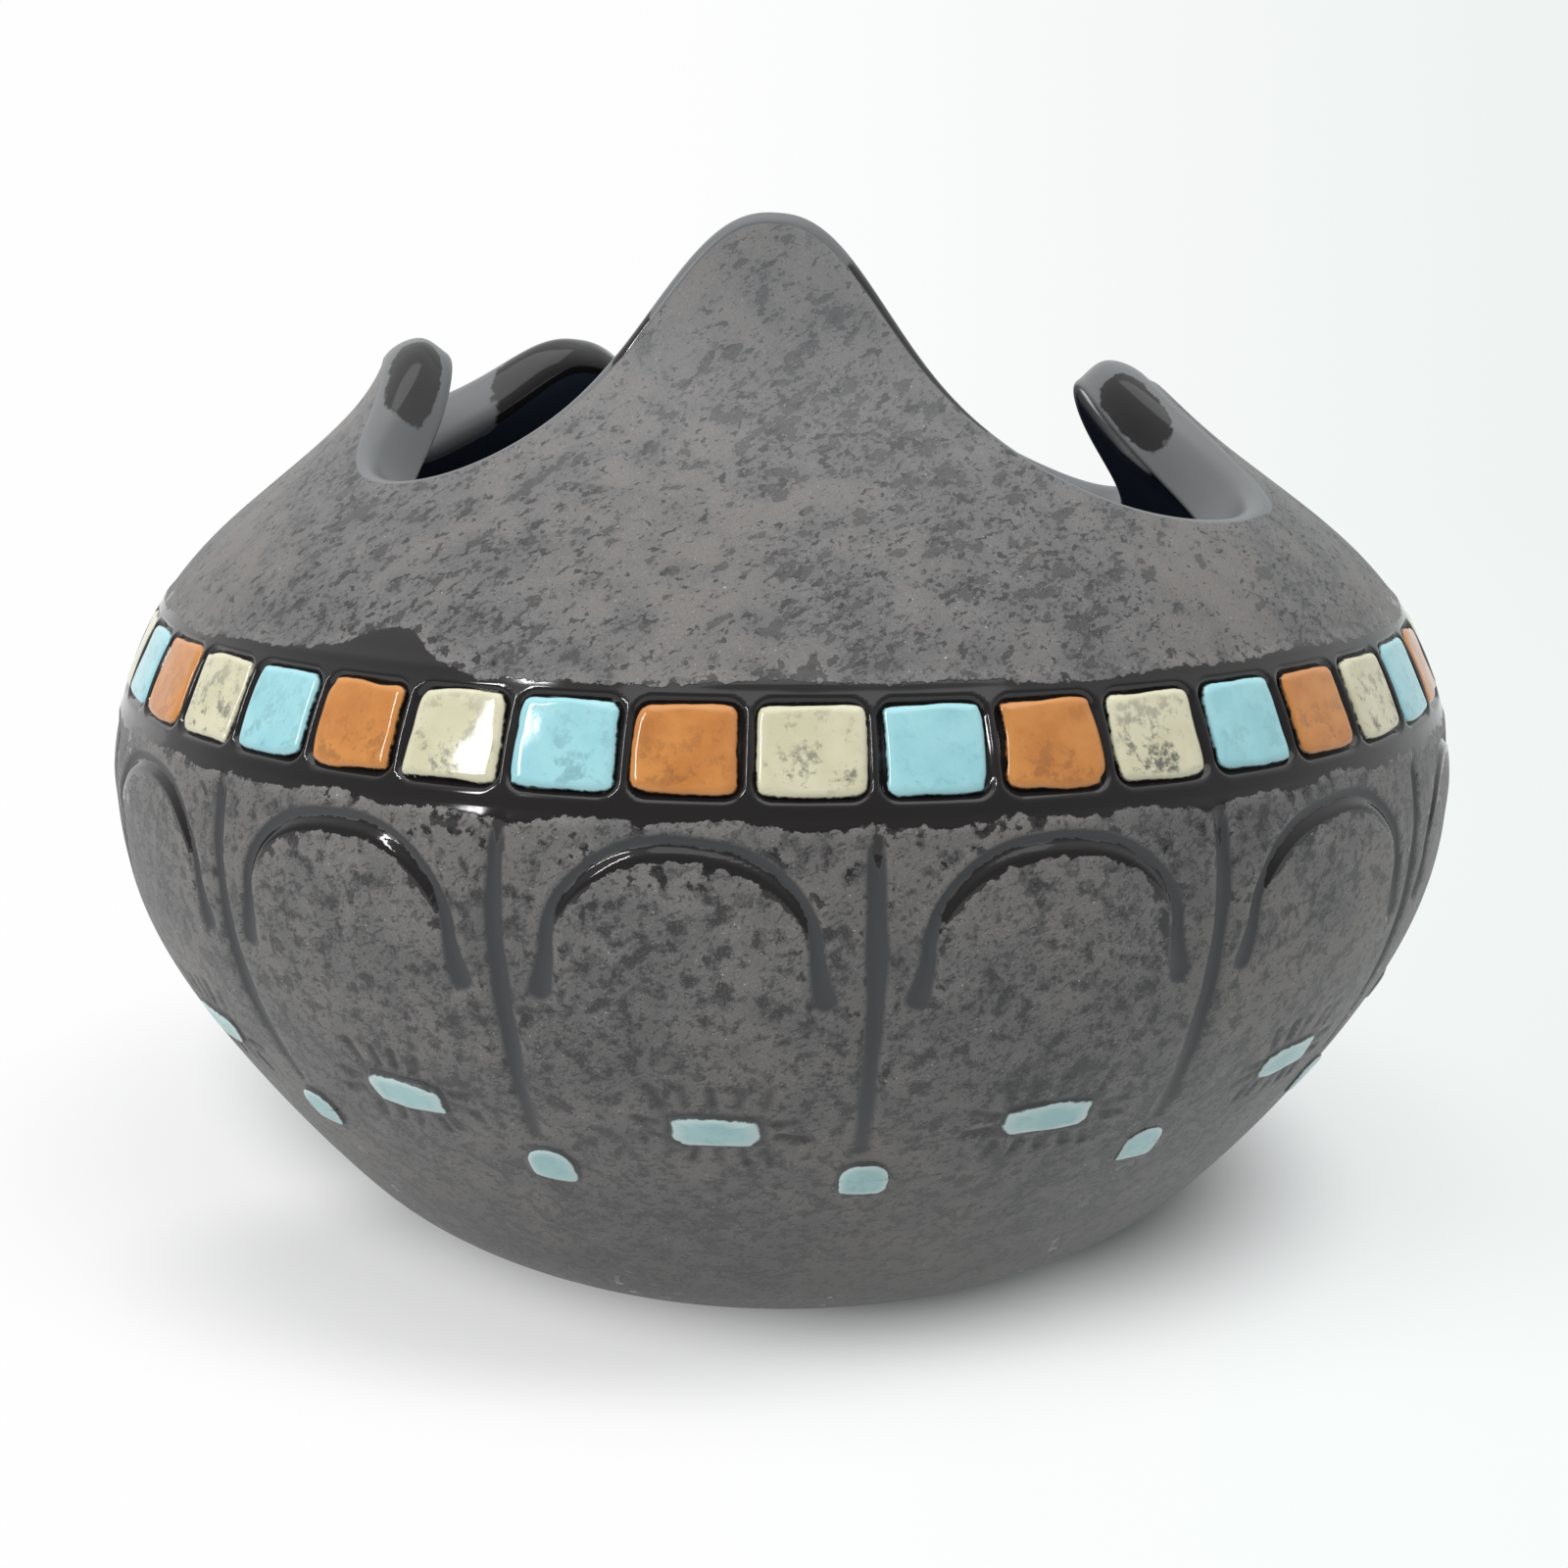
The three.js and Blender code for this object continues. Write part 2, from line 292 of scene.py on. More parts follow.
@dataclass
class Relief:
    """What the carving does to the wall at each place.

    depth is how far the surface lies under the outline. pool is the signed distance in mm into
    the pooled black glaze. groove is 1 in the middle of a smooth groove, and the last mark is 1 in
    the middle of a short gouge; on the rim that mark also holds the painted shade of the dips at
    its lows.
    """

    depth: np.ndarray
    pool: np.ndarray
    groove: np.ndarray
    stroke: np.ndarray

    def part(self, where: tuple[slice, slice]) -> "Relief":
        """The same for a part of the grid."""
        return Relief(self.depth[where], self.pool[where], self.groove[where], self.stroke[where])


@dataclass
class Carving:
    """Arches, panel grooves and short rays carved round the belly, in mm and degrees.

    creeps are the runs of black glaze up the shoulder: where each is, how far it goes up and how
    wide it is. fan is the turn between one ray over or under a bar and the next.
    """

    form: PotForm
    panels: int = 14
    tiles_per_panel: int = 3
    front_groove: float = 6.3
    bed_depth: float = 0.85
    frame_half: tuple[float, float] = (5.6, 4.9)
    frame_corner: float = 1.7
    frame_rise: tuple[float, float] = (-0.15, 0.82)
    arch_half_width: float = 14.6
    arch_rise: float = 11.1
    arch_spring: float = 66.0
    leg_end: float = 60.8
    leg_flare: float = 1.0
    arch_width: float = 2.7
    leg_width: float = 4.7
    arch_depth: float = 0.55
    groove_width: float = 2.9
    groove_width_low: float = 4.2
    groove_depth: float = 0.55
    groove_end: float = 41.0
    bar_height: float = 43.8
    bar_shift: float = 1.7
    bar_half: tuple[float, float] = (5.1, 2.35)
    ray_width: float = 2.1
    ray_depth: float = 0.34
    ray_spacing: float = 2.8
    ray_steps: tuple[int, ...] = (-2, -1, 0, 1, 2)
    fan: float = 9.0
    halo_width: float = 0.9
    strip_low: float = 8.0
    strip_high: float = 7.0
    creeps: tuple[tuple[float, float, float], ...] = (
        (-31.0, 3.9, 4.2),
        (-37.5, 0.9, 5.0),
        (143.0, 2.2, 4.0),
    )
    hand_wobble: float = 0.28
    seed: int = 11

    def __post_init__(self) -> None:
        """Draw the small differences between the panels, from a fixed seed."""
        draw = np.random.default_rng(self.seed)
        self.arch_jitter = draw.uniform(-1.0, 1.0, (self.panels, 4))
        self.groove_phase = draw.uniform(0.0, FULL_TURN, (self.panels, 3))
        self.rays = self._ray_lines()
        self.ray_jitter = draw.normal(0.0, 1.0, (self.panels, len(self.rays), 5))

    def _ray_lines(self) -> np.ndarray:
        """Start and end of each ray from the bar's centre: across, up, across, up."""
        half_across, half_up = self.bar_half
        lines = []
        for step in self.ray_steps:
            across = step * self.ray_spacing
            lean = math.sin(math.radians(step * self.fan))
            lines.append((across, half_up + 1.4, across + 2.5 * lean, half_up + 3.9))
            lines.append((across, -half_up - 1.2, across + 1.6 * lean, -half_up - 3.0))
        for side in (-1.0, 1.0):
            for up in (-1.1, 1.1):
                start = side * (half_across + 1.6)
                lines.append((start, up, start + side * 2.5, up * 1.4))
        return np.array(lines)

    def _panel_places(self, azimuth: np.ndarray) -> tuple[np.ndarray, np.ndarray, np.ndarray]:
        """Panel number, turn from the panel's centre and turn from the nearest groove."""
        pitch = FULL_TURN / self.panels
        turns = (azimuth - math.radians(self.front_groove)) / pitch
        panel = np.floor(turns).astype(int) % self.panels
        from_centre = (turns - np.floor(turns) - 0.5) * pitch
        from_groove = (turns - np.round(turns)) * pitch
        return panel, from_centre, from_groove

    def _arch(self, panel: np.ndarray, across: np.ndarray, height: np.ndarray) -> tuple:
        """Signed distance outwards from the arch's line, half of its width, and its fade.

        Args:
            panel: Panel number of each place.
            across: Distance across from the panel's centre.
            height: Height of each place.

        Returns:
            The distance to first order, (x^2/a^2 + w^2/b^2 - 1) over its own gradient, above
            the springing, the distance to the flared leg below it, the half width, and the
            distance past the leg's round end.
        """
        jitter = self.arch_jitter[panel]
        x = across - 0.3 * jitter[..., 0]
        a = self.arch_half_width + 0.25 * jitter[..., 1]
        b = self.arch_rise + 0.35 * jitter[..., 2]
        w = height - self.arch_spring
        wobble = self.hand_wobble * np.sin(0.42 * x + 5.0 * jitter[..., 3])
        gradient = 2.0 * np.sqrt(x**2 / a**4 + w**2 / b**4) + 1e-6
        above = (x**2 / a**2 + w**2 / b**2 - 1.0) / gradient
        down = np.clip(-w / (self.arch_spring - self.leg_end), 0.0, 1.0)
        beside = np.abs(x) - a - self.leg_flare * down**1.4
        distance = np.where(w > 0.0, above, beside) + 0.5 * wobble
        half = 0.5 * mixed(self.arch_width, self.leg_width, down)
        past = np.maximum(0.0, self.leg_end - height)
        return distance, half, past

    def _rays(self, panel: np.ndarray, azimuth_off: np.ndarray, height: np.ndarray) -> np.ndarray:
        """How strongly each place is gouged by the short rays round a panel's bar.

        Args:
            panel: Panel number of each place.
            azimuth_off: Turn from the panel's centre, in radians.
            height: Height of each place.

        Returns:
            0 to 1: the round hollow of the distance to the nearest ray's line.
        """
        radius = self.form.outline.value(height)
        out, _ = self.form.normal(height)
        across = (azimuth_off - math.radians(self.bar_shift)) * radius
        up = (height - self.bar_height) / out
        strength = np.zeros_like(across)
        for index, (x0, y0, x1, y1) in enumerate(self.rays):
            jitter = self.ray_jitter[panel, index]
            start_x = x0 + 0.22 * jitter[..., 0]
            start_y = y0 + 0.15 * jitter[..., 1]
            run_x = x1 - x0 + 0.2 * jitter[..., 2]
            run_y = y1 - y0 + 0.2 * jitter[..., 3]
            along = (across - start_x) * run_x + (up - start_y) * run_y
            share = np.clip(along / (run_x**2 + run_y**2), 0.0, 1.0)
            gap = np.hypot(across - start_x - share * run_x, up - start_y - share * run_y)
            weight = np.clip(0.85 + 0.2 * jitter[..., 4], 0.35, 1.15)
            strength = np.maximum(strength, weight * round_hollow(gap, 0.5 * self.ray_width))
        return strength

    def _bed(self, azimuth: np.ndarray, offset: np.ndarray) -> np.ndarray:
        """Depth of the bed that the tiles lie in.

        Args:
            azimuth: Angles round the pot, in radians.
            offset: Distance up from the band's centre line.

        Returns:
            The bed's depth, less a smooth rise by the distance out of the nearest tile's
            rounded frame: with qx, qy the distances past the frame's straight part, it is
            hypot(max(qx, 0), max(qy, 0)) + min(max(qx, qy), 0) - corner.
        """
        form = self.form
        pitch = FULL_TURN / (self.panels * self.tiles_per_panel)
        turns = (azimuth - math.radians(self.front_groove)) / pitch
        across = (turns - np.floor(turns) - 0.5) * pitch * form.band_radius
        past_x = np.abs(across) - self.frame_half[0] + self.frame_corner
        past_y = np.abs(offset) - self.frame_half[1] + self.frame_corner
        past = np.hypot(np.maximum(past_x, 0.0), np.maximum(past_y, 0.0))
        out = past + np.minimum(np.maximum(past_x, past_y), 0.0) - self.frame_corner
        return self.bed_depth * (1.0 - smooth_step(*self.frame_rise, out))

    def _strip(self, azimuth: np.ndarray, offset: np.ndarray) -> np.ndarray:
        """Signed distance into the black strip that the tiles stand in.

        It reaches strip_low down from the band's centre line and strip_high up, with runs where
        the glaze crept up the shoulder, the largest at the front left.
        """
        turn = np.degrees(wrapped(azimuth))
        creep = sum(rise * bell(turn, centre, width) for centre, rise, width in self.creeps)
        ripple = 0.35 * np.sin(9.0 * azimuth + 1.0) + 0.25 * np.sin(23.0 * azimuth + 2.0)
        drip = 0.3 * np.sin(14.0 * azimuth) + 0.35 * np.sin(37.0 * azimuth + 0.7)
        return np.minimum(offset + self.strip_low + drip, self.strip_high + ripple + creep - offset)

    def _grooves(
        self, panel: np.ndarray, from_groove: np.ndarray, height: np.ndarray
    ) -> tuple[np.ndarray, np.ndarray, np.ndarray]:
        """The panel grooves, which sway a little and widen downwards.

        Args:
            panel: Panel number of each place.
            from_groove: Turn from the nearest groove, in radians.
            height: Height of each place.

        Returns:
            The groove's cross-section, its fade towards its lower end, and the signed distance
            into the black glaze that pooled in its upper part.
        """
        form = self.form
        phase = self.groove_phase[panel]
        sway = 0.2 * np.sin(0.23 * height + phase[..., 0]) + 0.08 * np.sin(0.71 * height + phase[..., 1])
        low_share = np.clip((form.band_height - height) / (form.band_height - self.groove_end), 0.0, 1.0)
        half = 0.5 * mixed(self.groove_width, self.groove_width_low, low_share)
        gap = from_groove * form.belly_radius + sway
        past = np.maximum(0.0, self.groove_end - height)
        fade = 1.0 - 0.45 * smooth_step(58.0, self.groove_end, height)
        wet = 1.5 * smooth_step(70.0, 78.0, height + 1.5 * np.sin(phase[..., 2])) - 1.3
        return round_hollow(np.hypot(gap, past), half), fade, 0.3 * half - np.abs(gap) + wet

    def _halo(self, azimuth_off: np.ndarray, height: np.ndarray) -> np.ndarray:
        """Darkness of the border round a panel's bar: 1 within the bar, 0 past the halo's width."""
        radius = self.form.outline.value(height)
        out, _ = self.form.normal(height)
        past_x = np.abs((azimuth_off - math.radians(self.bar_shift)) * radius) - self.bar_half[0]
        past_y = np.abs(height - self.bar_height) / out - self.bar_half[1]
        gap = np.hypot(np.maximum(past_x, 0.0), np.maximum(past_y, 0.0))
        return np.clip(1.0 - gap / self.halo_width, 0.0, 1.0)

    def relief(self, azimuth: np.ndarray, height: np.ndarray) -> Relief:
        """Work out the carving at each place on the outside.

        Args:
            azimuth: Angles round the pot, in radians.
            height: Heights on the outline, of the same shape.

        Returns:
            The depth and the masks of the glaze.
        """
        form = self.form
        panel, from_centre, from_groove = self._panel_places(azimuth)
        offset = form.band_offset(height)
        strip = self._strip(azimuth, offset)

        across = from_centre * form.belly_radius
        arch, arch_half, past = self._arch(panel, across, height)
        reach = np.hypot(arch, past)
        arch_cut = round_hollow(reach, arch_half)
        crest = smooth_step(self.arch_spring - 2.0, self.arch_spring + 7.0, height)
        arch_pool = np.minimum(-0.15 - arch, arch + 1.2 + 1.0 * crest) - 1.6 * (1.0 - crest) ** 2 - past

        groove_cut, groove_fade, groove_pool = self._grooves(panel, from_groove, height)
        groove_cut = groove_cut * (1.0 - smooth_step(-11.0, -7.4, offset))
        above_band = 9.0 * smooth_step(-5.0, -3.0, offset)

        stroke = self._rays(panel, from_centre, height)
        beside_arch = smooth_step(0.6, 3.0, arch) * smooth_step(48.0, 60.0, height)
        stroke = np.maximum(stroke, 0.24 * beside_arch * (1.0 - smooth_step(-2.0, 0.5, strip)))

        ridge = 0.16 * bell(offset, -8.6, 0.9) + 0.1 * bell(offset, 7.4, 0.8)
        swell = 0.12 * np.sin(3.0 * azimuth + 0.07 * height) + 0.07 * np.sin(7.0 * azimuth - 0.13 * height)
        faded = smooth_step(6.0, 20.0, height) * (1.0 - smooth_step(66.0, 72.0, height))
        depth = self._bed(azimuth, offset) - ridge + self.arch_depth * arch_cut
        depth = depth + self.groove_depth * groove_fade * groove_cut + self.ray_depth * stroke
        depth = depth + faded * (0.2 + swell)
        dry_arch = arch_cut * smooth_step(-1.3, 0.0, arch + 1.3 * (1.0 - crest))
        groove = np.maximum(dry_arch, groove_cut * groove_fade)
        pool = np.maximum(np.maximum(strip, arch_pool - above_band), groove_pool - above_band)
        return Relief(depth, pool, groove, np.maximum(stroke, self._halo(from_centre, height)))


class Shape:
    """A mesh being put together: points, faces and one number at each point for each name."""

    def __init__(self, name: str) -> None:
        """Start an empty mesh.

        Args:
            name: Name of the piece.
        """
        self.name = name
        self.points: list[np.ndarray] = []
        self.quads: list[np.ndarray] = []
        self.triangles: list[np.ndarray] = []
        self.marks: dict[str, list[np.ndarray]] = {}
        self.count = 0

    def add_points(self, points: np.ndarray, **marks: np.ndarray | float) -> np.ndarray:
        """Add points and their marks.

        Args:
            points: Points in metres, of any grid shape ending in three.
            **marks: A number or a grid of numbers for each name.

        Returns:
            The points' numbers, in the same grid shape.
        """
        shape = points.shape[:-1]
        flat = points.reshape(-1, 3)
        numbers = self.count + np.arange(len(flat)).reshape(shape)
        self.points.append(flat)
        for name, values in marks.items():
            grid = np.broadcast_to(np.asarray(values, dtype=float), shape).reshape(-1)
            self.marks.setdefault(name, []).append(grid)
        self.count += len(flat)
        return numbers

    def add_grid(self, numbers: np.ndarray, wraps: bool) -> None:
        """Join rows of points with quads.

        Args:
            numbers: Point numbers, one row for each step up or outwards.
            wraps: Whether the last column joins the first.
        """
        grid = np.concatenate([numbers, numbers[:, :1]], axis=1) if wraps else numbers
        corners = (grid[:-1, :-1], grid[:-1, 1:], grid[1:, 1:], grid[1:, :-1])
        self.quads.append(np.stack(corners, axis=-1).reshape(-1, 4))

    def add_fan(self, ring: np.ndarray, centre: int, forward: bool) -> None:
        """Close a ring of points with triangles to one centre point."""
        after = np.roll(ring, -1)
        pair = (ring, after) if forward else (after, ring)
        self.triangles.append(np.stack([*pair, np.full_like(ring, centre)], axis=-1))

    def add_shell(
        self, surface: np.ndarray, relief: Relief, behind: np.ndarray, back_pool: float, wraps: bool
    ) -> tuple[np.ndarray, np.ndarray]:
        """Add a carved surface and a plain one behind it, joined along their lower and upper edges.

        Args:
            surface: Points of the outside, in rows up the wall.
            relief: The carving at each of them.
            behind: Points of the back, in rows up the wall.
            back_pool: The back's distance into the pooled glaze.
            wraps: Whether the last column joins the first.

        Returns:
            The numbers of the outside's points and of the back's.
        """
        front = self.add_points(
            surface, pool=relief.pool, groove=relief.groove, stroke=relief.stroke, face=-1.0
        )
        back = self.add_points(behind, pool=back_pool, groove=0.0, stroke=0.0, face=-1.0)
        self.add_grid(front, wraps)
        self.add_grid(back[::-1], wraps)
        self.add_grid(np.stack([front[-1], back[-1]]), wraps)
        self.add_grid(np.stack([back[0], front[0]]), wraps)
        return front, back

    def finished(
        self, normals: np.ndarray | None = None, sharp: tuple[np.ndarray, ...] = ()
    ) -> bpy.types.Object:
        """Put the points and faces into a mesh.

        Args:
            normals: A normal at each point, where smooth shading isn't to work them out. A
                point with a zero normal keeps the one worked out.
            sharp: Rings of points whose edges keep the shading apart.

        Returns:
            The finished object, at the origin.
        """
        points = np.concatenate(self.points)
        quads = np.concatenate(self.quads) if self.quads else np.zeros((0, 4), int)
        triangles = np.concatenate(self.triangles) if self.triangles else np.zeros((0, 3), int)
        corners = np.concatenate([quads.reshape(-1), triangles.reshape(-1)]).astype(np.int32)
        sizes = np.concatenate([np.full(len(quads), 4), np.full(len(triangles), 3)])
        starts = np.concatenate([[0], np.cumsum(sizes)[:-1]]).astype(np.int32)
        mesh = bpy.data.meshes.new(self.name)
        mesh.vertices.add(len(points))
        mesh.vertices.foreach_set("co", points.astype(np.float32).reshape(-1))
        mesh.loops.add(len(corners))
        mesh.loops.foreach_set("vertex_index", corners)
        mesh.polygons.add(len(sizes))
        mesh.polygons.foreach_set("loop_start", starts)
        for name, parts in self.marks.items():
            layer = mesh.attributes.new(name, "FLOAT", "POINT")
            layer.data.foreach_set("value", np.concatenate(parts).astype(np.float32))
        mesh.update(calc_edges=True)
        mesh.validate()
        mesh.polygons.foreach_set("use_smooth", np.ones(len(mesh.polygons), dtype=bool))
        if sharp:
            ends = np.zeros(2 * len(mesh.edges), dtype=np.int32)
            mesh.edges.foreach_get("vertices", ends)
            inside = [(ends >= ring.min()) & (ends <= ring.max()) for ring in sharp]
            kept = np.any([ring.reshape(-1, 2).all(axis=1) for ring in inside], axis=0)
            mesh.attributes.new("sharp_edge", "BOOLEAN", "EDGE").data.foreach_set("value", kept)
        if normals is not None:
            mesh.normals_split_custom_set_from_vertices(normals.tolist())
        piece = bpy.data.objects.new(self.name, mesh)
        bpy.context.scene.collection.objects.link(piece)
        return piece


def grid_normals(points: np.ndarray) -> np.ndarray:
    """Normals of a grid of points, square to its rows and its columns.

    Args:
        points: Rows up the wall by columns round it, in rising azimuth.

    Returns:
        Unit vectors: the cross product of the steps round and the steps up.
    """
    up = np.gradient(points, axis=0)
    around = np.gradient(points, axis=1)
    normals = np.cross(around, up)
    return normals / np.linalg.norm(normals, axis=-1, keepdims=True)


def spaced_heights(form: PotForm, stops: list[tuple[float, float]], top: float) -> np.ndarray:
    """Heights up the outline with a chosen step of arc in each stretch.

    Args:
        form: The pot's shape.
        stops: The height where each stretch starts, and the step of arc in it.
        top: The last height.

    Returns:
        Rising heights from the first stop to top.
    """
    fine = np.linspace(stops[0][0], top, 4000)
    radius = form.outline.value(fine)
    arc_steps = np.hypot(np.diff(radius), np.diff(fine))
    starts = np.array([stop[0] for stop in stops])
    steps = np.array([stop[1] for stop in stops])
    chosen = steps[np.searchsorted(starts, fine[:-1], side="right") - 1]
    rows = np.concatenate([[0.0], np.cumsum(arc_steps / chosen)])
    wanted = np.linspace(0.0, rows[-1], int(round(rows[-1])) + 1)
    return np.interp(wanted, rows, fine)


class Side(Enum):
    """Which half of the belly a skin covers."""

    FRONT = "front"
    BACK = "back"


@dataclass
class BellySkin:
    """The carved outside of the belly, from the foot up into the tile channel, in two halves."""

    form: PotForm
    carving: Carving
    seam: float = 8.5
    seam_offset: float = -7.4
    thickness: float = 3.0
    columns_per_panel: int = 90
    back_rows: int = 9
    stretches: tuple[tuple[float, float], ...] = (
        (0.0, 2.0),
        (27.0, 0.9),
        (36.0, 0.42),
        (51.5, 0.8),
        (57.5, 0.42),
    )

    @property
    def top(self) -> float:
        """Height of the skin's upper edge, just below the tiles' bed."""
        return self.form.band_point(self.seam_offset, 0.0)[1]

    def build(self, side: Side, finish: "Blackware") -> bpy.types.Object:
        """Make one half of the skin, closed by its back and its edges.

        Args:
            side: Which half.
            finish: The pot's glaze.

        Returns:
            The finished piece.
        """
        form = self.form
        panels = self.carving.panels // 2
        pitch = FULL_TURN / self.carving.panels
        columns = panels * self.columns_per_panel
        half_turn = 0 if side is Side.FRONT else panels
        start = math.radians(self.seam) + (half_turn - 4) * pitch
        pad = pitch / self.columns_per_panel
        azimuths = start - pad + pad * np.arange(columns + 3)
        heights = spaced_heights(form, list(self.stretches), self.top)
        turn, height = np.meshgrid(azimuths, heights)
        relief = self.carving.relief(turn, height)
        surface = form.sunk(turn, height, relief.depth)
        seen = (slice(None), slice(1, -1))
        normals = grid_normals(surface)[seen]
        back_rows = np.linspace(0, len(heights) - 1, self.back_rows).astype(int)
        turn_back, height_back = turn[back_rows, 1:-1], height[back_rows, 1:-1]
        behind = form.sunk(turn_back, height_back, np.full_like(turn_back, self.thickness))
        behind[0, :, 2] = 0.0

        shape = Shape(f"belly_{side.value}")
        front, back = shape.add_shell(surface[seen], relief.part(seen), behind, -9.0, wraps=False)
        self._close_side(shape, front[:, 0], back[:, 0], back_rows, facing_on=False)
        self._close_side(shape, front[:, -1], back[:, -1], back_rows, facing_on=True)
        flat = np.concatenate([normals.reshape(-1, 3), -normals[back_rows].reshape(-1, 3)])
        piece = shape.finished(flat)
        finish.dress(piece)
        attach(piece, "root")
        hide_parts("pot_body")
        return piece

    @staticmethod
    def _close_side(
        shape: Shape, front: np.ndarray, back: np.ndarray, rows: np.ndarray, facing_on: bool
    ) -> None:
        """Join a fine column of points to a coarse one behind it with triangles."""
        for step in range(len(rows) - 1):
            low, high = rows[step], rows[step + 1]
            fine = front[low : high + 1]
            fan = np.stack([fine[:-1], fine[1:], np.full(high - low, back[step])], axis=-1)
            last = np.array([[fine[-1], back[step + 1], back[step]]])
            faces = np.concatenate([fan, last])
            shape.triangles.append(faces[:, ::-1] if facing_on else faces)


@dataclass
class BandBed:
    """The ring that the tiles lie in: its two lips, its floor and the ridges between tiles."""

    form: PotForm
    carving: Carving
    low: float = -7.4
    high: float = 7.6
    thickness: float = 3.0
    columns_per_tile: int = 34
    step: float = 0.3

    @property
    def top(self) -> float:
        """Height of the bed's upper edge."""
        return self.form.band_point(self.high, 0.0)[1]

    def build(self, finish: "Blackware") -> bpy.types.Object:
        """Make the ring as one closed body.

        Args:
            finish: The pot's glaze.

        Returns:
            The finished piece.
        """
        form = self.form
        columns = self.columns_per_tile * self.carving.tiles_per_panel * self.carving.panels
        pad = FULL_TURN / columns
        azimuths = math.radians(self.carving.front_groove) + pad * np.arange(-1, columns + 1)
        bottom = form.band_point(self.low, 0.0)[1]
        heights = spaced_heights(form, [(bottom, self.step)], self.top)
        rows = np.concatenate([[heights[0] - self.step], heights, [heights[-1] + self.step]])
        turn, height = np.meshgrid(azimuths, rows)
        relief = self.carving.relief(turn, height)
        surface = form.sunk(turn, height, relief.depth)
        seen = (slice(1, -1), slice(1, -1))
        normals = grid_normals(surface)[seen]
        ends = turn[seen][[0, -1]], height[seen][[0, -1]]
        behind = form.sunk(*ends, np.full_like(ends[0], self.thickness))

        shape = Shape("band_bed")
        shape.add_shell(surface[seen], relief.part(seen), behind, 9.0, wraps=True)
        flat = np.concatenate([normals.reshape(-1, 3), -normals[[0, -1]].reshape(-1, 3)])
        piece = shape.finished(flat)
        finish.dress(piece)
        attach(piece, "root")
        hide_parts("pot_body")
        return piece


@dataclass(frozen=True)
class Blot:
    """A pooled patch on the cut rim: its place, and half of its length and of its width in mm."""

    azimuth: float
    share: float
    along: float
    across: float


@dataclass(frozen=True)
class RimGlaze:
    """Where the cut rim is glossy black and where it is smooth grey, in mm and degrees.

    run is the distance along the rim in one radian of turn.
    """

    blots: tuple[Blot, ...] = (
        Blot(-69.5, 0.42, 8.8, 3.1),
        Blot(81.5, 0.56, 7.8, 3.2),
        Blot(-144.0, 0.9, 31.0, 7.6),
        Blot(160.0, 0.5, 9.0, 2.6),
    )
    # Painted shade and a painted light ring at the rim's two front lows; the rim's shape has no dip there.
    painted_hollows: tuple[Blot, ...] = (
        Blot(-49.0, 0.5, 2.3, 1.9),
        Blot(52.0, 0.6, 2.6, 2.0),
    )
    squareness: float = 2.8
    run: float = 78.0

    def _reach(self, blot: Blot, azimuth: np.ndarray, across: np.ndarray) -> np.ndarray:
        """Signed distance into a blot with squarish ends.

        Args:
            blot: The blot.
            azimuth: Angles round the rim, in radians.
            across: Distance over the face from the blot's centre.

        Returns:
            (1 - l) times the lesser half, where l^p is the sum of the p-th powers of the
            distances along and across over their halves, and p is the squareness.
        """
        turned = np.abs(wrapped(azimuth - math.radians(blot.azimuth)))
        along = turned * self.run / blot.along
        power = self.squareness
        length = (along**power + np.abs(across / blot.across) ** power) ** (1.0 / power)
        return (1.0 - length) * min(blot.along, blot.across)

    def pool(self, azimuth: np.ndarray, share: np.ndarray, wall: np.ndarray) -> np.ndarray:
        """Signed distance into the black patches of the cut face.

        Args:
            azimuth: Angles round the rim, in radians.
            share: Share of the way over the cut face.
            wall: Thickness of the wall.

        Returns:
            The greatest of the blots' signed distances.
        """
        reaches = [self._reach(b, azimuth, (share - b.share) * wall) for b in self.blots]
        return np.max(reaches, axis=0)

    def hollow_shade(self, azimuth: np.ndarray, share: np.ndarray, wall: np.ndarray) -> np.ndarray:
        """Painted shade of the small dips at the rim's lows: up to 1, and below 0 in their painted light
        ring.
        """
        reaches = [self._reach(b, azimuth, (share - b.share) * wall) for b in self.painted_hollows]
        reach = np.max(reaches, axis=0)
        return 0.3 * smooth_step(-0.1, 0.3, reach) - 0.5 * bell(reach, -0.45, 0.35)

    def spill(self, azimuth: np.ndarray, below: np.ndarray) -> np.ndarray:
        """How smooth and grey the outside is near the rim, 0 to 1.

        Args:
            azimuth: Angles round the rim, in radians.
            below: Distance down from the rim.

        Returns:
            1 down to the reach of the spill, which is wider at the two front lows.
        """
        turn = np.degrees(wrapped(azimuth))
        reach = 0.5 + 1.5 * bell(turn, -58.0, 14.0) + 3.4 * bell(turn, 66.0, 9.0)
        reach = reach + 1.5 * bell(np.abs(turn), 115.0, 12.0)
        return 1.0 - smooth_step(-0.5, 0.5, below - reach)

    def edge(self, azimuth: np.ndarray, below: np.ndarray) -> np.ndarray:
        """Signed distance into the black that crept over the rim's outer edge on the tall lobe."""
        turn = np.degrees(wrapped(azimuth))
        reach = 2.3 * bell(turn, -20.5, 2.2) + 1.1 * smooth_step(6.0, 11.0, turn)
        reach = reach - 3.0 * smooth_step(24.0, 32.0, turn) - 0.7
        return np.maximum(-9.0, reach - below)


